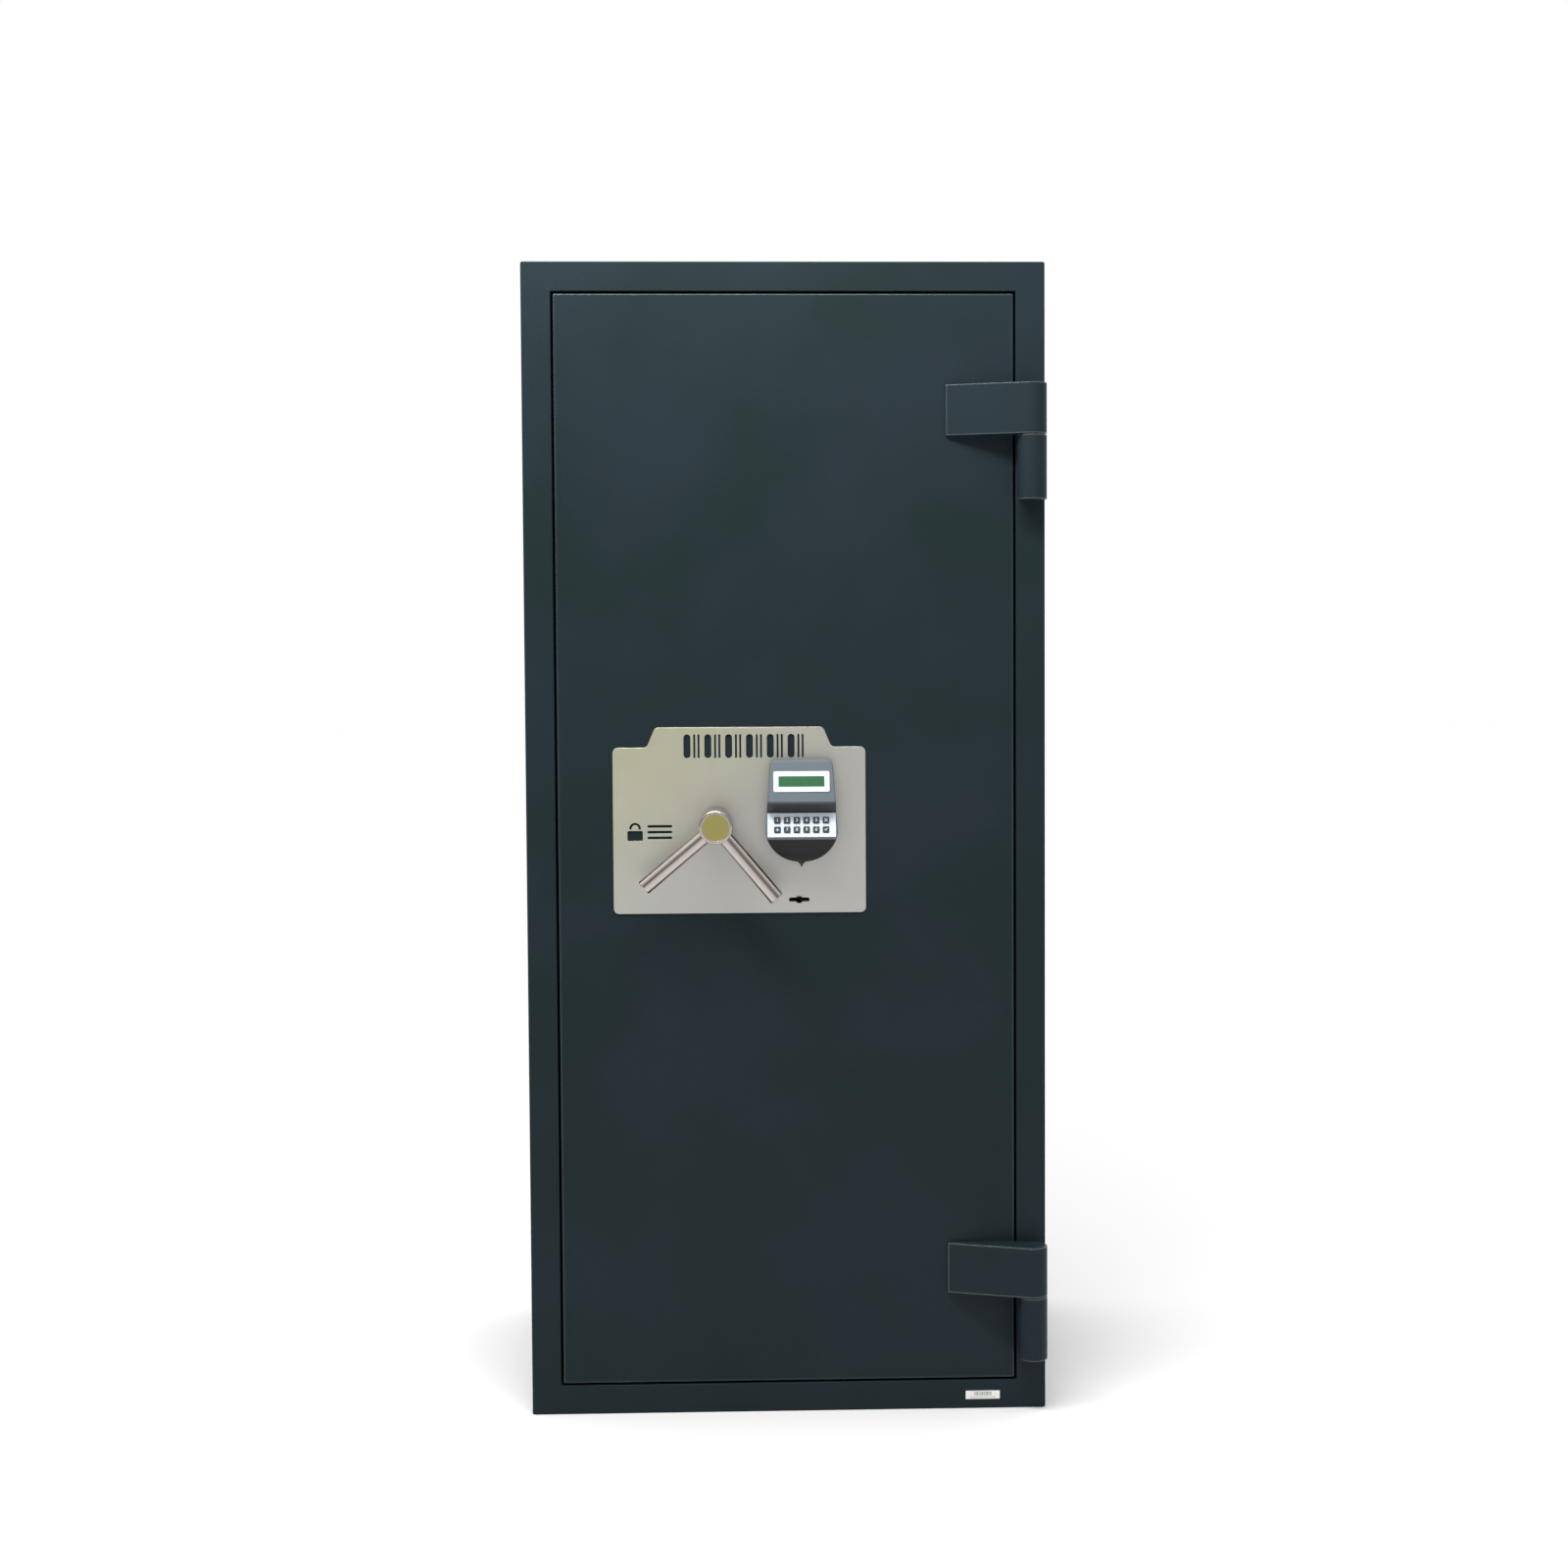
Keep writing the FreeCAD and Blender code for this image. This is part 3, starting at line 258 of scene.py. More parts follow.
class Sheet:
    """A node tree that grows by one method."""

    def __init__(self, tree):
        self.nodes, self.links = tree.nodes, tree.links

    def feed(self, socket, value):
        if isinstance(value, Number):
            value = value.socket
        if isinstance(value, bpy.types.NodeSocket):
            self.links.new(value, socket)
        elif socket.type == "RGBA":
            socket.default_value = (*value, 1.0)
        else:
            socket.default_value = value

    def node(self, kind, settings, inputs, output=0):
        """A node's output. Settings come first, then its sockets in order or by name."""
        made = self.nodes.new(kind)
        for name, value in settings.items():
            setattr(made, name, value)
        for key, value in inputs.items() if isinstance(inputs, dict) else enumerate(inputs):
            self.feed(self.pick(made.inputs, key), value)
        return self.pick(made.outputs, output)

    @staticmethod
    def pick(sockets, key):
        """The socket in use that has a name, or a place in the order."""
        used = [s for s in sockets if s.enabled]
        return used[key] if isinstance(key, int) else next(s for s in used if s.name == key)

    def number(self, kind, settings, inputs, output=0):
        return Number(self, self.node(kind, settings, inputs, output))

    def vector(self, operation, *values):
        return self.node("ShaderNodeVectorMath", {"operation": operation}, values)

    def axes(self, space="Object"):
        """X, Y and Z of the surface point in metres, or of the direction looked in."""
        place = self.node("ShaderNodeTexCoord", {}, {}, space)
        return [self.number("ShaderNodeSeparateXYZ", {}, [place], i) for i in range(3)]

    def noise(self, feature, detail=2.0, stretch=(1, 1, 1), roughness=0.55):
        """Noise from 0 to 1 whose bumps are about a feature wide, drawn out by stretch."""
        scaled = self.vector("MULTIPLY", self.place, tuple(1 / (feature * s) for s in stretch))
        return self.number("ShaderNodeTexNoise", {}, {"Vector": scaled, "Scale": 1.0, "Detail": detail,
                                                      "Roughness": roughness})

    def mix(self, share, first, second):
        return self.node("ShaderNodeMix", {"data_type": "RGBA"}, {"Factor": share, "A": first, "B": second})

    def step(self, value, low, high):
        """0 below low, 1 above high, smooth between."""
        return self.number("ShaderNodeMapRange", {"interpolation_type": "SMOOTHSTEP"},
                           {"Value": value, "From Min": low, "From Max": high})


class Finish(Sheet):
    """One procedural material round a principled shader."""

    def __init__(self, name, **fixed):
        self.material = bpy.data.materials.new(name)
        self.material.use_nodes = True
        super().__init__(self.material.node_tree)
        self.shader = next(n for n in self.nodes if n.type == "BSDF_PRINCIPLED")
        self.place = self.node("ShaderNodeTexCoord", {}, {}, "Object")
        self.set(**fixed)

    def set(self, **inputs):
        """Feeds the shader's sockets: base_color stands for Base Color."""
        for name, value in inputs.items():
            self.feed(self.shader.inputs[name.replace("_", " ").title().replace("Ior", "IOR")], value)
        return self

    def relief(self, height, depth, edge=0.0):
        """Bumps of a depth in metres, over edges that look rounded by a radius."""
        inputs = {"Height": height, "Distance": depth, "Strength": 1.0}
        if edge:
            inputs["Normal"] = self.node("ShaderNodeBevel", {"samples": BEVEL_SAMPLES}, {"Radius": edge})
        return self.set(normal=self.node("ShaderNodeBump", {}, inputs))

    def edges(self, radius):
        """1 on a sharp edge, 0 away from it."""
        soft = self.node("ShaderNodeBevel", {"samples": BEVEL_SAMPLES}, {"Radius": radius})
        flat = self.node("ShaderNodeNewGeometry", {}, {}, "Normal")
        facing = self.number("ShaderNodeVectorMath", {"operation": "DOT_PRODUCT"}, [soft, flat], "Value")
        return self.step(1 - facing, *EDGE_BEND)

    def across_and_up(self, node):
        """How far across and up a CAD node's box the surface point lies, from 0 to 1."""
        x, _, z = self.axes()
        low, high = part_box(node)
        return (x - low.x) / (high.x - low.x), (z - low.z) / (high.z - low.z)

    def put_on(self, *names):
        for name in names:
            for slot in frame["nodes"][name].material_slots:
                slot.material = self.material
        return self


def shade(base, share):
    return tuple(share * c for c in base)


def paint_finish(scene, name, edge):
    """Dark satin powder coat: fine orange peel, a drift from green to blue, and a painted highlight that
    lightens the edges, with a glossy coat on them.
    """
    p = scene.safe_paint
    f = Finish(name, specular_ior_level=0.10, coat_roughness=0.16)
    peel = f.noise(p.grain, 3.0)
    speckle = f.noise(p.grain * 1.6, 1.0)
    clouds = f.noise(0.24, 3.0)
    drift = f.step(clouds, 0.36, 0.64)
    tone = f.mix(drift * 0.7 + speckle * 0.5 - 0.1, tuple(p.body), tuple(p.body_light))
    if edge:
        # painted highlight: the edges found here are mixed towards a lighter colour and get a glossy coat
        highlight_edges = f.edges(HIGHLIGHT_EDGE)
        tone = f.mix(highlight_edges * 0.45, tone, tuple(p.edge_highlight))
        f.set(coat_weight=highlight_edges)
    f.set(base_color=tone, roughness=p.body_roughness + (peel - 0.5) * 0.12 + (clouds - 0.5) * 0.08)
    return f.relief(peel * 0.75 + speckle * 0.25, 0.16 * MM, edge)


def enamel_finish(scene):
    """Light interior enamel."""
    p = scene.safe_paint
    f = Finish("interior_enamel", specular_ior_level=0.4)
    peel = f.noise(0.9 * MM, 3.0)
    clouds = f.noise(0.3, 2.0)
    f.set(base_color=f.mix(clouds, shade(p.inside, 0.86), tuple(p.inside)),
          roughness=0.5 + (peel - 0.5) * 0.15)
    return f.relief(peel, 0.05 * MM, p.edge)


def brushed_finish(scene):
    """Stainless sheet brushed from side to side, in cloudy tone, with a painted warm reflection towards its
    upper left corner.
    """
    m = scene.safe_metal
    f = Finish("brushed_stainless", metallic=1.0)
    lines = f.noise(m.brush, 3.0, (120, 1, 1))
    long_lines = f.noise(m.brush * 2.5, 2.0, (260, 1, 1))
    clouds = f.noise(0.09, 3.0, (1.6, 1, 1))
    smears = f.noise(0.02, 4.0)
    base = tuple(m.plate)
    cool = (base[0] * 0.93, base[1] * 0.97, base[2] * 1.04)
    tone = f.mix(clouds, cool, base)
    across, up = f.across_and_up("cover_plate")
    # painted reflection: lighter and warmer towards the upper left corner
    corner = f.step(up - across, -0.3, 0.9)
    tone = f.mix(corner, tone, (base[0] * 1.02, base[1] * 1.05, base[2] * 0.82))
    tone = f.mix(lines * 0.20, tone, shade(base, 0.72))
    rough = m.plate_roughness + (lines - 0.5) * 0.16 + (smears - 0.5) * 0.10
    f.set(base_color=tone, roughness=rough)
    return f.relief(lines * 0.6 + long_lines * 0.4, 0.012 * MM, 0.3 * MM)


def chrome_finish(scene):
    """Bright chrome with hairline scratches and a trace of fingerprints."""
    m = scene.safe_metal
    f = Finish("bright_chrome", metallic=1.0)
    hair = f.noise(0.25 * MM, 2.0, (60, 60, 1))
    smears = f.noise(9 * MM, 4.0)
    # partly painted reflection: the pink tint in the chrome colour stands for a reflected warm room
    base = tuple(m.chrome)
    f.set(base_color=f.mix(smears, base, shade(base, 0.93)),
          roughness=m.chrome_roughness + (smears - 0.5) * 0.10 + (hair - 0.5) * 0.06)
    return f.relief(hair, 0.003 * MM, 0.4 * MM)


def disc_finish(scene):
    """Satin gold disc, faced on a lathe: fine rings about its centre."""
    low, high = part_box("hub_disc")
    centre = (low + high) / 2
    f = Finish("satin_gold", metallic=1.0)
    x, _, z = f.axes()
    radius = ((x - centre.x) ** 2 + (z - centre.z) ** 2).root()
    rings = (radius * (2 * math.pi / (0.28 * MM))).sine() * 0.5 + 0.5
    grain = f.noise(0.5 * MM, 2.0)
    base = tuple(scene.safe_metal.gold)
    f.set(base_color=f.mix(grain * 0.6, base, shade(base, 0.80)), roughness=0.40 + (grain - 0.5) * 0.15)
    return f.relief(rings * 0.5 + grain * 0.5, 0.006 * MM, 0.2 * MM)


def plated_finish(name, base, roughness, streak=(1, 1, 1)):
    """Plated or ground steel with fine working marks and a faint patchy bloom."""
    f = Finish(name, metallic=1.0)
    marks = f.noise(0.3 * MM, 2.0, streak)
    bloom = f.noise(14 * MM, 4.0)
    f.set(base_color=f.mix(bloom, base, shade(base, 0.80)),
          roughness=roughness + (marks - 0.5) * 0.14 + (bloom - 0.5) * 0.12)
    return f.relief(marks, 0.008 * MM, 0.4 * MM)


def plastic_finish(name, base, roughness, grain=0.6 * MM, depth=0.03 * MM, edge=0.5 * MM, **fixed):
    """Moulded plastic with a spark-eroded grain."""
    f = Finish(name, **fixed)
    stipple = f.noise(grain, 2.0)
    drift = f.noise(25 * MM, 2.0)
    f.set(base_color=f.mix(drift * 0.6 + stipple * 0.4, base, shade(base, 0.84)),
          roughness=roughness + (stipple - 0.5) * 0.16)
    return f.relief(stipple, depth, edge)


def housing_finish(scene):
    """Slate plastic with a band of painted shade over the step between the display and the keys."""
    p = scene.safe_plastic
    f = plastic_finish("slate_plastic", tuple(p.upper), 0.42)
    _, _, z = f.axes()
    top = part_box("display_bezel")[0].z - STEP_BELOW_BEZEL
    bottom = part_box("key_panel")[1].z + STEP_ABOVE_PANEL
    plain = f.shader.inputs["Base Color"].links[0].from_socket
    # painted shade: a near-black band between the display and the key panel
    return f.set(base_color=f.mix(z.within(bottom, top), plain, STEP_PAINTED_SHADE))


def display_finish(scene):
    """Unlit green display: two rows of faint character cells under a clear window."""
    f = Finish("display_glass", roughness=0.22, coat_weight=0.5, coat_roughness=0.08, specular_ior_level=0.3)
    across, up = f.across_and_up("display_window")
    across = (across - CELL_MARGIN_ACROSS) / (1 - 2 * CELL_MARGIN_ACROSS)
    up = (up - CELL_MARGIN_UP) / (1 - 2 * CELL_MARGIN_UP)
    cell_x = ((across * CELLS_ACROSS).fraction() - 0.5).size() < CELL_HALF_ACROSS
    cell_z = ((up * CELL_ROWS).fraction() - 0.5).size() < CELL_HALF_UP
    cell = across.within(0.0, 1.0) * up.within(0.0, 1.0) * cell_x * cell_z
    base = tuple(scene.safe_plastic.glass)
    drift = f.noise(12 * MM, 2.0)
    tone = f.mix(drift * 0.5, base, shade(base, 0.80))
    return f.set(base_color=f.mix(cell * 0.30, tone, shade(base, 0.55)))


def carpet_finish(scene):
    """Needle felt: tangled fibres in two greys."""
    base = tuple(scene.safe_lining.carpet)
    f = Finish("needle_felt", roughness=0.95, sheen_weight=0.35, sheen_roughness=0.6, specular_ior_level=0.1)
    fibres = f.noise(0.6 * MM, 6.0, (1, 3, 1), 0.7)
    crossing = f.noise(0.6 * MM, 6.0, (3, 1, 1), 0.7)
    tufts = f.noise(4 * MM, 3.0)
    f.set(base_color=f.mix(fibres * 0.6 + tufts * 0.4, shade(base, 0.6), shade(base, 2.2)))
    return f.relief(fibres * 0.5 + crossing * 0.5, 0.35 * MM)


def foam_finish(scene):
    """Flocked foam: a dense velvet nap."""
    base = tuple(scene.safe_lining.foam)
    f = Finish("flocked_foam", roughness=0.9, sheen_weight=0.5, sheen_roughness=0.45, specular_ior_level=0.1)
    nap = f.noise(0.35 * MM, 4.0, (1, 1, 1), 0.7)
    brushed = f.noise(18 * MM, 3.0, (2, 1, 1))
    f.set(base_color=f.mix(nap * 0.5 + brushed * 0.5, base, shade(base, 2.0)))
    return f.relief(nap, 0.15 * MM)


def rubber_finish(scene):
    base = tuple(scene.safe_lining.rubber)
    return plastic_finish("seal_rubber", base, 0.62, 0.8 * MM, 0.02 * MM, 0.0, specular_ior_level=0.35)


def board_finish(scene):
    """Paper-faced gypsum board."""
    base = tuple(scene.safe_lining.board)
    f = Finish("fire_board", roughness=0.9)
    fibres = f.noise(1.2 * MM, 5.0, (1, 1, 6))
    f.set(base_color=f.mix(fibres, base, shade(base, 0.8)))
    return f.relief(fibres, 0.08 * MM)


# ---------------------------------------------------------------- shapes

def object_from(name, mesh, finish, slot, body, *stands_for):
    """A new piece that rides on a body, with its finish. The slot argument is not used."""
    piece = bpy.data.objects.new(name, mesh)
    bpy.context.scene.collection.objects.link(piece)
    mesh.materials.clear()
    mesh.materials.append(finish.material)
    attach(piece, body)
    if stands_for:
        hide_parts(*stands_for)
    return piece


def mesh_from(name, shape, smooth=True):
    """Closes a bmesh into a mesh with outward normals."""
    bmesh.ops.recalc_face_normals(shape, faces=shape.faces)
    for face in shape.faces:
        face.smooth = smooth
    mesh = bpy.data.meshes.new(name)
    shape.to_mesh(mesh)
    shape.free()
    return mesh


def evaluated_mesh(carrier):
    """A new mesh with a text's or a modified object's final shape."""
    graph = bpy.context.evaluated_depsgraph_get()
    return bpy.data.meshes.new_from_object(carrier.evaluated_get(graph))


def softened_copy(name, node, voxel, passes):
    """A node's shape rebuilt in small even faces with its edges rounded off."""
    piece = bpy.data.objects.new(name, frame["nodes"][node].data.copy())
    bpy.context.scene.collection.objects.link(piece)
    remesh = piece.modifiers.new("even faces", "REMESH")
    remesh.mode, remesh.voxel_size = "VOXEL", voxel
    smooth = piece.modifiers.new("round edges", "SMOOTH")
    smooth.factor, smooth.iterations = 0.5, passes
    mesh = evaluated_mesh(piece)
    bpy.data.objects.remove(piece)
    for face in mesh.polygons:
        face.use_smooth = True
    return mesh


def tufted(mesh, texture_size, height):
    """Sinks a mesh's points by up to a height, in smooth clouds that are fixed by place."""
    for point, normal in [(v, v.normal.copy()) for v in mesh.vertices]:
        lift = noise.noise(point.co / texture_size) * height / 2
        point.co += normal * (lift - height / 2)
    mesh.update()
    return mesh


def loop_seal(low, high, width, depth, bend):
    """A D-shaped rubber strip that runs round a rectangle with rounded corners."""
    half_x, half_z = (high.x - low.x - width) / 2, (high.z - low.z - width) / 2
    middle = (low + high) / 2
    shape = bmesh.new()
    path = []
    for corner in range(4):
        sx, sz = ((1, 1), (-1, 1), (-1, -1), (1, -1))[corner]
        hub = Vector((sx * (half_x - bend), 0, sz * (half_z - bend)))
        for i in range(SEAL_ARC_STEPS + 1):
            angle = math.pi / 2 * (corner + i / SEAL_ARC_STEPS)
            out = Vector((math.cos(angle), 0, math.sin(angle)))
            path.append((hub + out * bend, out))
    rings = []
    for point, out in path:
        ring = []
        for i in range(SEAL_SIDE_STEPS + 1):
            turn = math.pi * i / SEAL_SIDE_STEPS
            offset = out * (width / 2 * math.cos(turn)) + Vector((0, -depth * math.sin(turn), 0))
            ring.append(shape.verts.new(Vector((middle.x, high.y, middle.z)) + point + offset))
        rings.append(ring)
    for here, there in zip(rings, rings[1:] + rings[:1]):
        count = len(here)
        for i in range(count):
            shape.faces.new((here[i], here[(i + 1) % count], there[(i + 1) % count], there[i]))
    return mesh_from("seal", shape)


def stroke(shape, points, width, thickness, place):
    """A flat printed line through points, joined square, turned into place."""
    half = width / 2
    for start, end in zip(points, points[1:]):
        a, b = Vector((*start, 0)), Vector((*end, 0))
        along = (b - a).normalized() * half
        side = Vector((-along.y, along.x, 0))
        corners = [a - along - side, b + along - side, b + along + side, a - along + side]
        base = [shape.verts.new(place @ c) for c in corners]
        top = [shape.verts.new(place @ (c + Vector((0, 0, thickness)))) for c in corners]
        shape.faces.new(base[::-1])
        shape.faces.new(top)
        for i in range(4):
            j = (i + 1) % 4
            shape.faces.new((base[i], base[j], top[j], top[i]))


def face_place(node, out):
    """Where a legend lies on a key: centred and upright on the face that looks out."""
    right = Vector((1, 0, 0))
    up = out.cross(right)
    points = [v.co for v in frame["nodes"][node].data.vertices]
    spans = [[p.dot(axis) for p in points] for axis in (right, up, out)]
    centre = right * (min(spans[0]) + max(spans[0])) / 2 + up * (min(spans[1]) + max(spans[1])) / 2
    return Matrix.Translation(centre + out * max(spans[2])) @ Matrix((right, up, out)).transposed().to_4x4()


def key_joints():
    """Each key's name and its joint."""
    joints = [joint for joint in frame["joints"] if joint["child"].startswith("button_")]
    return [(joint["child"].removeprefix("button_"), joint) for joint in joints]


def digit_mesh(text, height, thickness, place):
    """A digit as a thin solid, centred on its place."""
    curve = bpy.data.curves.new("digit", "FONT")
    curve.body, curve.size = text, 1.0
    curve.align_x, curve.align_y = "CENTER", "CENTER"
    curve.resolution_u = 4
    carrier = bpy.data.objects.new("digit", curve)
    bpy.context.scene.collection.objects.link(carrier)
    mesh = evaluated_mesh(carrier)
    bpy.data.objects.remove(carrier)
    low_x, high_x = min(v.co.x for v in mesh.vertices), max(v.co.x for v in mesh.vertices)
    low_y, high_y = min(v.co.y for v in mesh.vertices), max(v.co.y for v in mesh.vertices)
    grow = height / (high_y - low_y)
    centre = Vector(((low_x + high_x) / 2, (low_y + high_y) / 2, 0))
    points = [(v.co - centre) * grow for v in mesh.vertices]
    shape = bmesh.new()
    base = [shape.verts.new(place @ p) for p in points]
    top = [shape.verts.new(place @ (p + Vector((0, 0, thickness)))) for p in points]
    keys = [key for face in mesh.polygons for key in face.edge_keys]
    for face in mesh.polygons:
        around = list(face.vertices)
        shape.faces.new([base[i] for i in reversed(around)])
        shape.faces.new([top[i] for i in around])
        for i, j in zip(around, around[1:] + around[:1]):
            if keys.count((min(i, j), max(i, j))) == 1:
                shape.faces.new((base[i], base[j], top[j], top[i]))
    return mesh_from("digit", shape, False)


# ---------------------------------------------------------------- operators

class SafeStep:
    """What every step of the finisher shares."""
    bl_options = {"REGISTER", "UNDO"}


class SAFE_OT_cabinet(SafeStep, bpy.types.Operator):
    """Powder-coats the cabinet, door and hinges"""
    bl_idname = "safe.cabinet"
    bl_label = "Paint cabinet and door"

    def execute(self, context):
        edge = context.scene.safe_paint.edge
        paint_finish(context.scene, "powder_coat", edge).put_on(
            "outer_shell", "hinge_barrels", "hinge_straps", "door_plate", "door_pan")
        paint_finish(context.scene, "powder_coat_welded", 0.0).put_on(
            "front_frame", "frame_return", "door_stop", "bolt_box")
        board_finish(context.scene).put_on("wall_boards", "door_board")
        plastic_finish("sleeve_plastic", SLEEVE_GREY, 0.6).put_on("anchor_sleeves")
        return {"FINISHED"}


class SAFE_OT_cover_plate(SafeStep, bpy.types.Operator):
    """Brushes the stainless cover plate"""
    bl_idname = "safe.cover_plate"
    bl_label = "Brush cover plate"

    def execute(self, context):
        brushed_finish(context.scene).put_on("cover_plate")
        return {"FINISHED"}


class SAFE_OT_handle(SafeStep, bpy.types.Operator):
    """Plates the hub and grips and faces the hub disc"""
    bl_idname = "safe.handle"
    bl_label = "Plate handle"

    def execute(self, context):
        chrome_finish(context.scene).put_on("handle_hub", "handle_grips")
        disc_finish(context.scene).put_on("hub_disc")
        return {"FINISHED"}


class SAFE_OT_keypad(SafeStep, bpy.types.Operator):
    """Moulds the keypad's housing, cover, bezel and keys"""
    bl_idname = "safe.keypad"
    bl_label = "Mould keypad"

    def execute(self, context):
        p = context.scene.safe_plastic
        housing_finish(context.scene).put_on("keypad_housing")
        # painted shade: the battery cover is near black for the shade on its downward face
        shaded_cover = plastic_finish("charcoal_plastic", tuple(p.lower), 0.5, specular_ior_level=0.25)
        shaded_cover.put_on("battery_cover")
        white = plastic_finish("white_plastic", tuple(p.white), 0.34, 0.4 * MM, 0.008 * MM, 0.25 * MM)
        white.put_on("key_panel", "display_bezel")
        caps = ["key_" + key for key, _ in key_joints()]
        plastic_finish("keycap_plastic", tuple(p.key), 0.38, 0.4 * MM, 0.01 * MM, 0.4 * MM).put_on(*caps)
        plastic_finish("black_plastic", BLACK_PLASTIC, 0.5).put_on("battery_catch", "keypad_cable")
        display_finish(context.scene).put_on("display_window")
        return {"FINISHED"}


class SAFE_OT_legends(SafeStep, bpy.types.Operator):
    """Prints the digits, a cross and a tick on the keys"""
    bl_idname = "safe.legends"
    bl_label = "Print keys"

    def execute(self, context):
        p = context.scene.safe_plastic
        ink = plastic_finish("legend_ink", tuple(p.legend), 0.4, 0.3 * MM, 0.004 * MM, 0.0)
        for key, joint in key_joints():
            place = face_place("key_" + key, -Vector(joint["axis"]).normalized())
            mesh = self.legend(key, place, p.legend_height, p.legend_rise)
            object_from("legend_" + key, mesh, ink, "white_plastic", joint["child"])
        return {"FINISHED"}

    def legend(self, key, place, height, rise):
        if key.isdigit():
            return digit_mesh(key, height, rise, place)
        reach, shape = height * LEGEND_REACH, bmesh.new()
        tick = [(-reach, 0), (-reach * 0.25, -reach * 0.75), (reach, reach * 0.7)]
        cross = [[(-reach, reach), (reach, -reach)], [(-reach, -reach), (reach, reach)]]
        for line in cross if key == "clear" else [tick]:
            stroke(shape, line, height * LEGEND_STROKE, rise, place)
        return mesh_from("legend", shape, False)


class SAFE_OT_label(SafeStep, bpy.types.Operator):
    """Sticks the label on the frame, with a plain pattern of bars"""
    bl_idname = "safe.label"
    bl_label = "Stick label"

    def execute(self, context):
        base = tuple(context.scene.safe_lining.label)
        f = Finish("label_paper", roughness=0.35, coat_weight=0.3)
        across, up = f.across_and_up("label")
        uneven = f.number("ShaderNodeTexNoise", {"noise_dimensions": "1D"},
                          {"W": across * 60.0, "Scale": 1.0})
        bars = (uneven > 0.5) * across.within(0.24, 0.76) * up.within(0.42, 0.88)
        lines = ((up * 9.0).fraction() < 0.45) * across.within(0.12, 0.88) * up.within(0.08, 0.34)
        f.set(base_color=f.mix((bars + lines * 0.6) * 0.85, base, LABEL_INK))
        f.put_on("label")
        return {"FINISHED"}


class SAFE_OT_boltwork(SafeStep, bpy.types.Operator):
    """Plates the bolts, rods, locks and hinge pins"""
    bl_idname = "safe.boltwork"
    bl_label = "Plate boltwork"

    def execute(self, context):
        m = context.scene.safe_metal
        zinc, steel, brass = tuple(m.zinc), tuple(m.steel), tuple(m.brass)
        plated_finish("zinc_plate", zinc, 0.36).put_on(
            "side_carriage", "top_rod", "bottom_rod", "lock_cases", "cover_screws")
        plated_finish("turned_steel", zinc, 0.24, (1, 1, 12)).put_on(
            "side_bolts", "top_bolts", "bottom_bolts", "dead_bolts")
        plated_finish("bare_steel", steel, 0.34).put_on("hinge_pins", "spindle", "pinion", "hard_plate")
        plated_finish("oiled_brass", shade(brass, 0.3), 0.4).put_on("thrust_washers")
        plated_finish("bright_brass", brass, 0.28).put_on(
            "spindle_bush", "electronic_lock_bolt", "key_lock_bolt")
        return {"FINISHED"}


class SAFE_OT_interior(SafeStep, bpy.types.Operator):
    """Enamels the inside and lays the carpet, rack padding and seal"""
    bl_idname = "safe.interior"
    bl_label = "Furnish interior"

    def execute(self, context):
        scene = context.scene
        enamel_finish(scene).put_on("inner_liner", "shelf", "shelf_rails", "back_cover")
        low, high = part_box("floor_mat")
        pile = scene.safe_lining.pile
        mat_mesh = tufted(softened_copy("carpet", "floor_mat", MAT_FACE, 2), MAT_CLOUD, pile)
        carpet = object_from("floor_carpet", mat_mesh, carpet_finish(scene), "mat", "cabinet", "floor_mat")
        rack_mesh = tufted(softened_copy("rack", "gun_rack", RACK_FACE, 6), RACK_CLOUD, RACK_NAP)
        rack = object_from("barrel_rack", rack_mesh, foam_finish(scene), "rack_foam", "cabinet", "gun_rack")
        low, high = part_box("door_seal")
        strip = loop_seal(low, high, SEAL_WIDTH, (high.y - low.y) * SEAL_DEPTH_SHARE, SEAL_BEND)
        object_from("bulb_seal", strip, rubber_finish(scene), "seal", "cabinet", "door_seal")
        return {"FINISHED"}


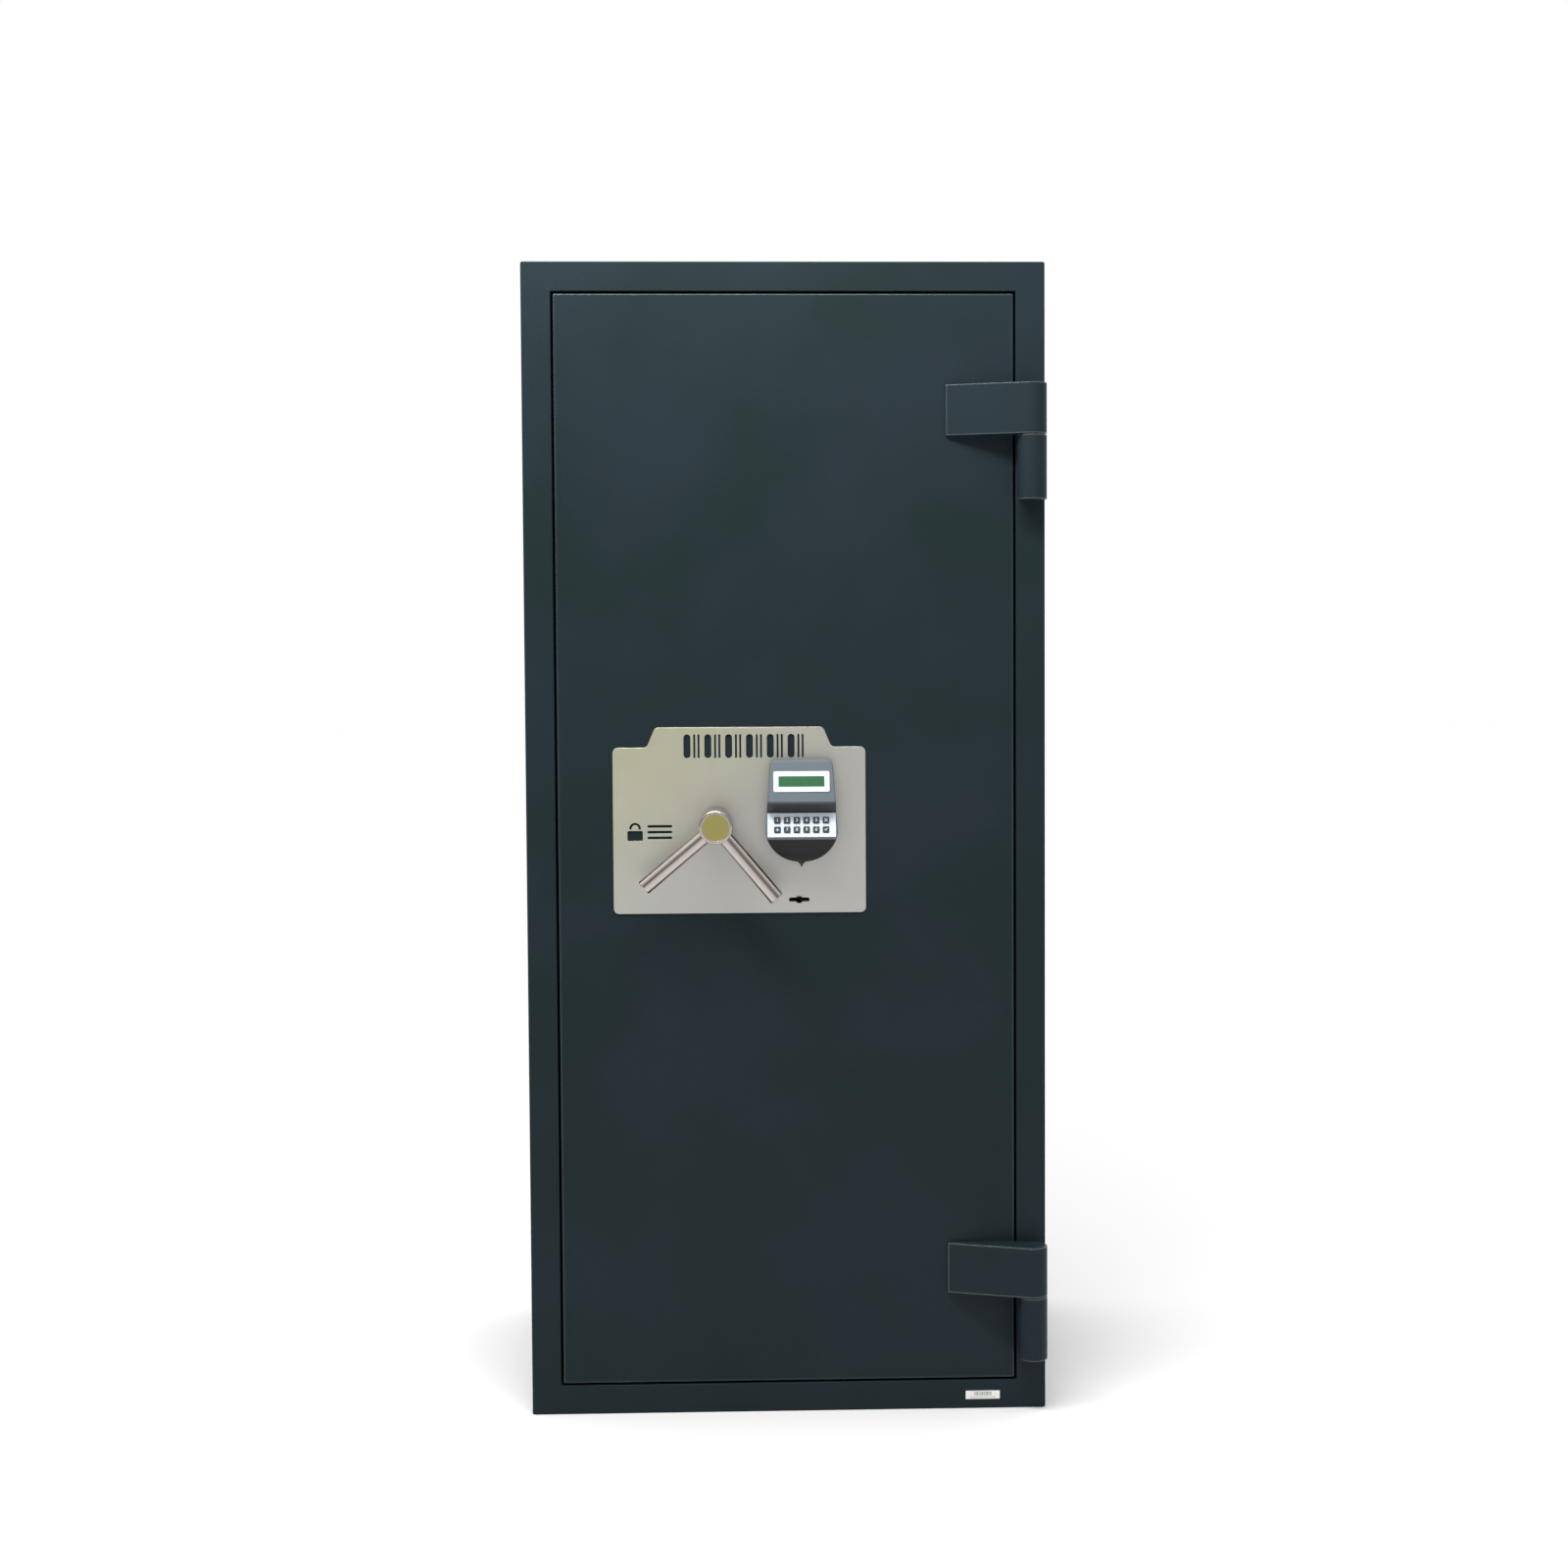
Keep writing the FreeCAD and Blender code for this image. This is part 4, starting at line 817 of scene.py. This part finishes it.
class SAFE_OT_stage(SafeStep, bpy.types.Operator):
    """Sets the floor, the soft lights and the camera"""
    bl_idname = "safe.stage"
    bl_label = "Set stage"

    def execute(self, context):
        scene, s = context.scene, context.scene.safe_stage
        shape = bmesh.new()
        bmesh.ops.create_grid(shape, x_segments=8, y_segments=8, size=FLOOR_HALF)
        floor = bpy.data.objects.new("studio_floor", mesh_from("floor", shape))
        scene.collection.objects.link(floor)
        paper = Finish("studio_paper", roughness=0.8)
        grain = paper.noise(0.9, 2.0)
        paper.set(base_color=paper.mix(grain, tuple(s.floor), shade(s.floor, 0.985)))
        floor.data.materials.append(paper.material)
        floor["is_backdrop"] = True
        for name, power, place, target, wide, high in LIGHTS:
            self.light(scene, name, getattr(s, power), place, target, wide, high)
        scene.world = self.studio(s)
        scene.view_settings.view_transform = "Standard"
        self.camera(scene, s)
        return {"FINISHED"}

    def studio(self, s):
        """White behind the safe, bright overhead, dim on the side that it faces."""
        world = bpy.data.worlds.new("studio")
        world.use_nodes = True
        sheet = Sheet(world.node_tree)
        _, y, z = sheet.axes("Generated")
        wall = sheet.mix(sheet.step(y, *WALL_BLEND), tuple(s.dim), tuple(s.sky))
        above = sheet.step(z, *CEILING_BLEND)
        sheet.feed(world.node_tree.nodes["Background"].inputs["Color"],
                   sheet.mix(above, wall, (s.overhead, s.overhead, s.overhead)))
        return world

    def light(self, scene, name, power, place, target, wide, high):
        lamp = bpy.data.lights.new(name, "AREA")
        lamp.energy, lamp.shape, lamp.size, lamp.size_y = power, "RECTANGLE", wide, high
        holder = bpy.data.objects.new(name, lamp)
        holder.location = place
        holder.rotation_euler = (Vector(target) - Vector(place)).to_track_quat("-Z", "Y").to_euler()
        scene.collection.objects.link(holder)

    def camera(self, scene, s):
        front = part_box("front_frame")[0].y
        lens = bpy.data.cameras.new("camera")
        lens.lens, lens.sensor_width = s.lens, SENSOR_WIDTH
        lens.shift_x, lens.shift_y = CAMERA_SHIFT
        lens.clip_end = FAR_CLIP
        camera = bpy.data.objects.new("camera", lens)
        level = math.cos(s.tilt)
        ahead = Vector((math.sin(s.turn) * level, math.cos(s.turn) * level, -math.sin(s.tilt)))
        right = Vector((math.cos(s.turn), -math.sin(s.turn), 0.0))
        up = right.cross(ahead)
        cosine, sine = math.cos(CAMERA_ROLL), math.sin(CAMERA_ROLL)
        right, up = right * cosine + up * sine, up * cosine - right * sine
        place = Vector((CAMERA_X, front - s.distance, s.height))
        camera.matrix_world = Matrix.Translation(place) @ Matrix((right, up, -ahead)).transposed().to_4x4()
        scene.collection.objects.link(camera)
        scene.camera = camera


STEPS = (SAFE_OT_cabinet, SAFE_OT_cover_plate, SAFE_OT_handle, SAFE_OT_keypad, SAFE_OT_legends, SAFE_OT_label,
         SAFE_OT_boltwork, SAFE_OT_interior, SAFE_OT_stage)


class SAFE_PT_panel(bpy.types.Panel):
    """Lists the sizes, colours and steps"""
    bl_idname = "SAFE_PT_panel"
    bl_label = "Gun safe"
    bl_space_type = "VIEW_3D"
    bl_region_type = "UI"
    bl_category = "Safe"

    def draw(self, context):
        for attribute, group in GROUPS.items():
            box = self.layout.box()
            for name in group.__annotations__:
                box.prop(getattr(context.scene, attribute), name)
        for step in STEPS:
            self.layout.operator(step.bl_idname)


def register():
    for kind in (*GROUPS.values(), *STEPS, SAFE_PT_panel):
        bpy.utils.register_class(kind)
    for attribute, group in GROUPS.items():
        setattr(bpy.types.Scene, attribute, bpy.props.PointerProperty(type=group))


def unregister():
    for attribute in GROUPS:
        delattr(bpy.types.Scene, attribute)
    for kind in (SAFE_PT_panel, *reversed(STEPS), *reversed(GROUPS.values())):
        bpy.utils.unregister_class(kind)


def corners(bounds):
    return [list(corner) for corner in bounds]


def main():
    register()
    cad_box = corners(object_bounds())
    for step in STEPS:
        group, name = step.bl_idname.split(".")
        getattr(getattr(bpy.ops, group), name)()
    sizes = {"cad_box": cad_box, "visual_box": corners(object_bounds())}


if __name__ == "__main__":
    main()
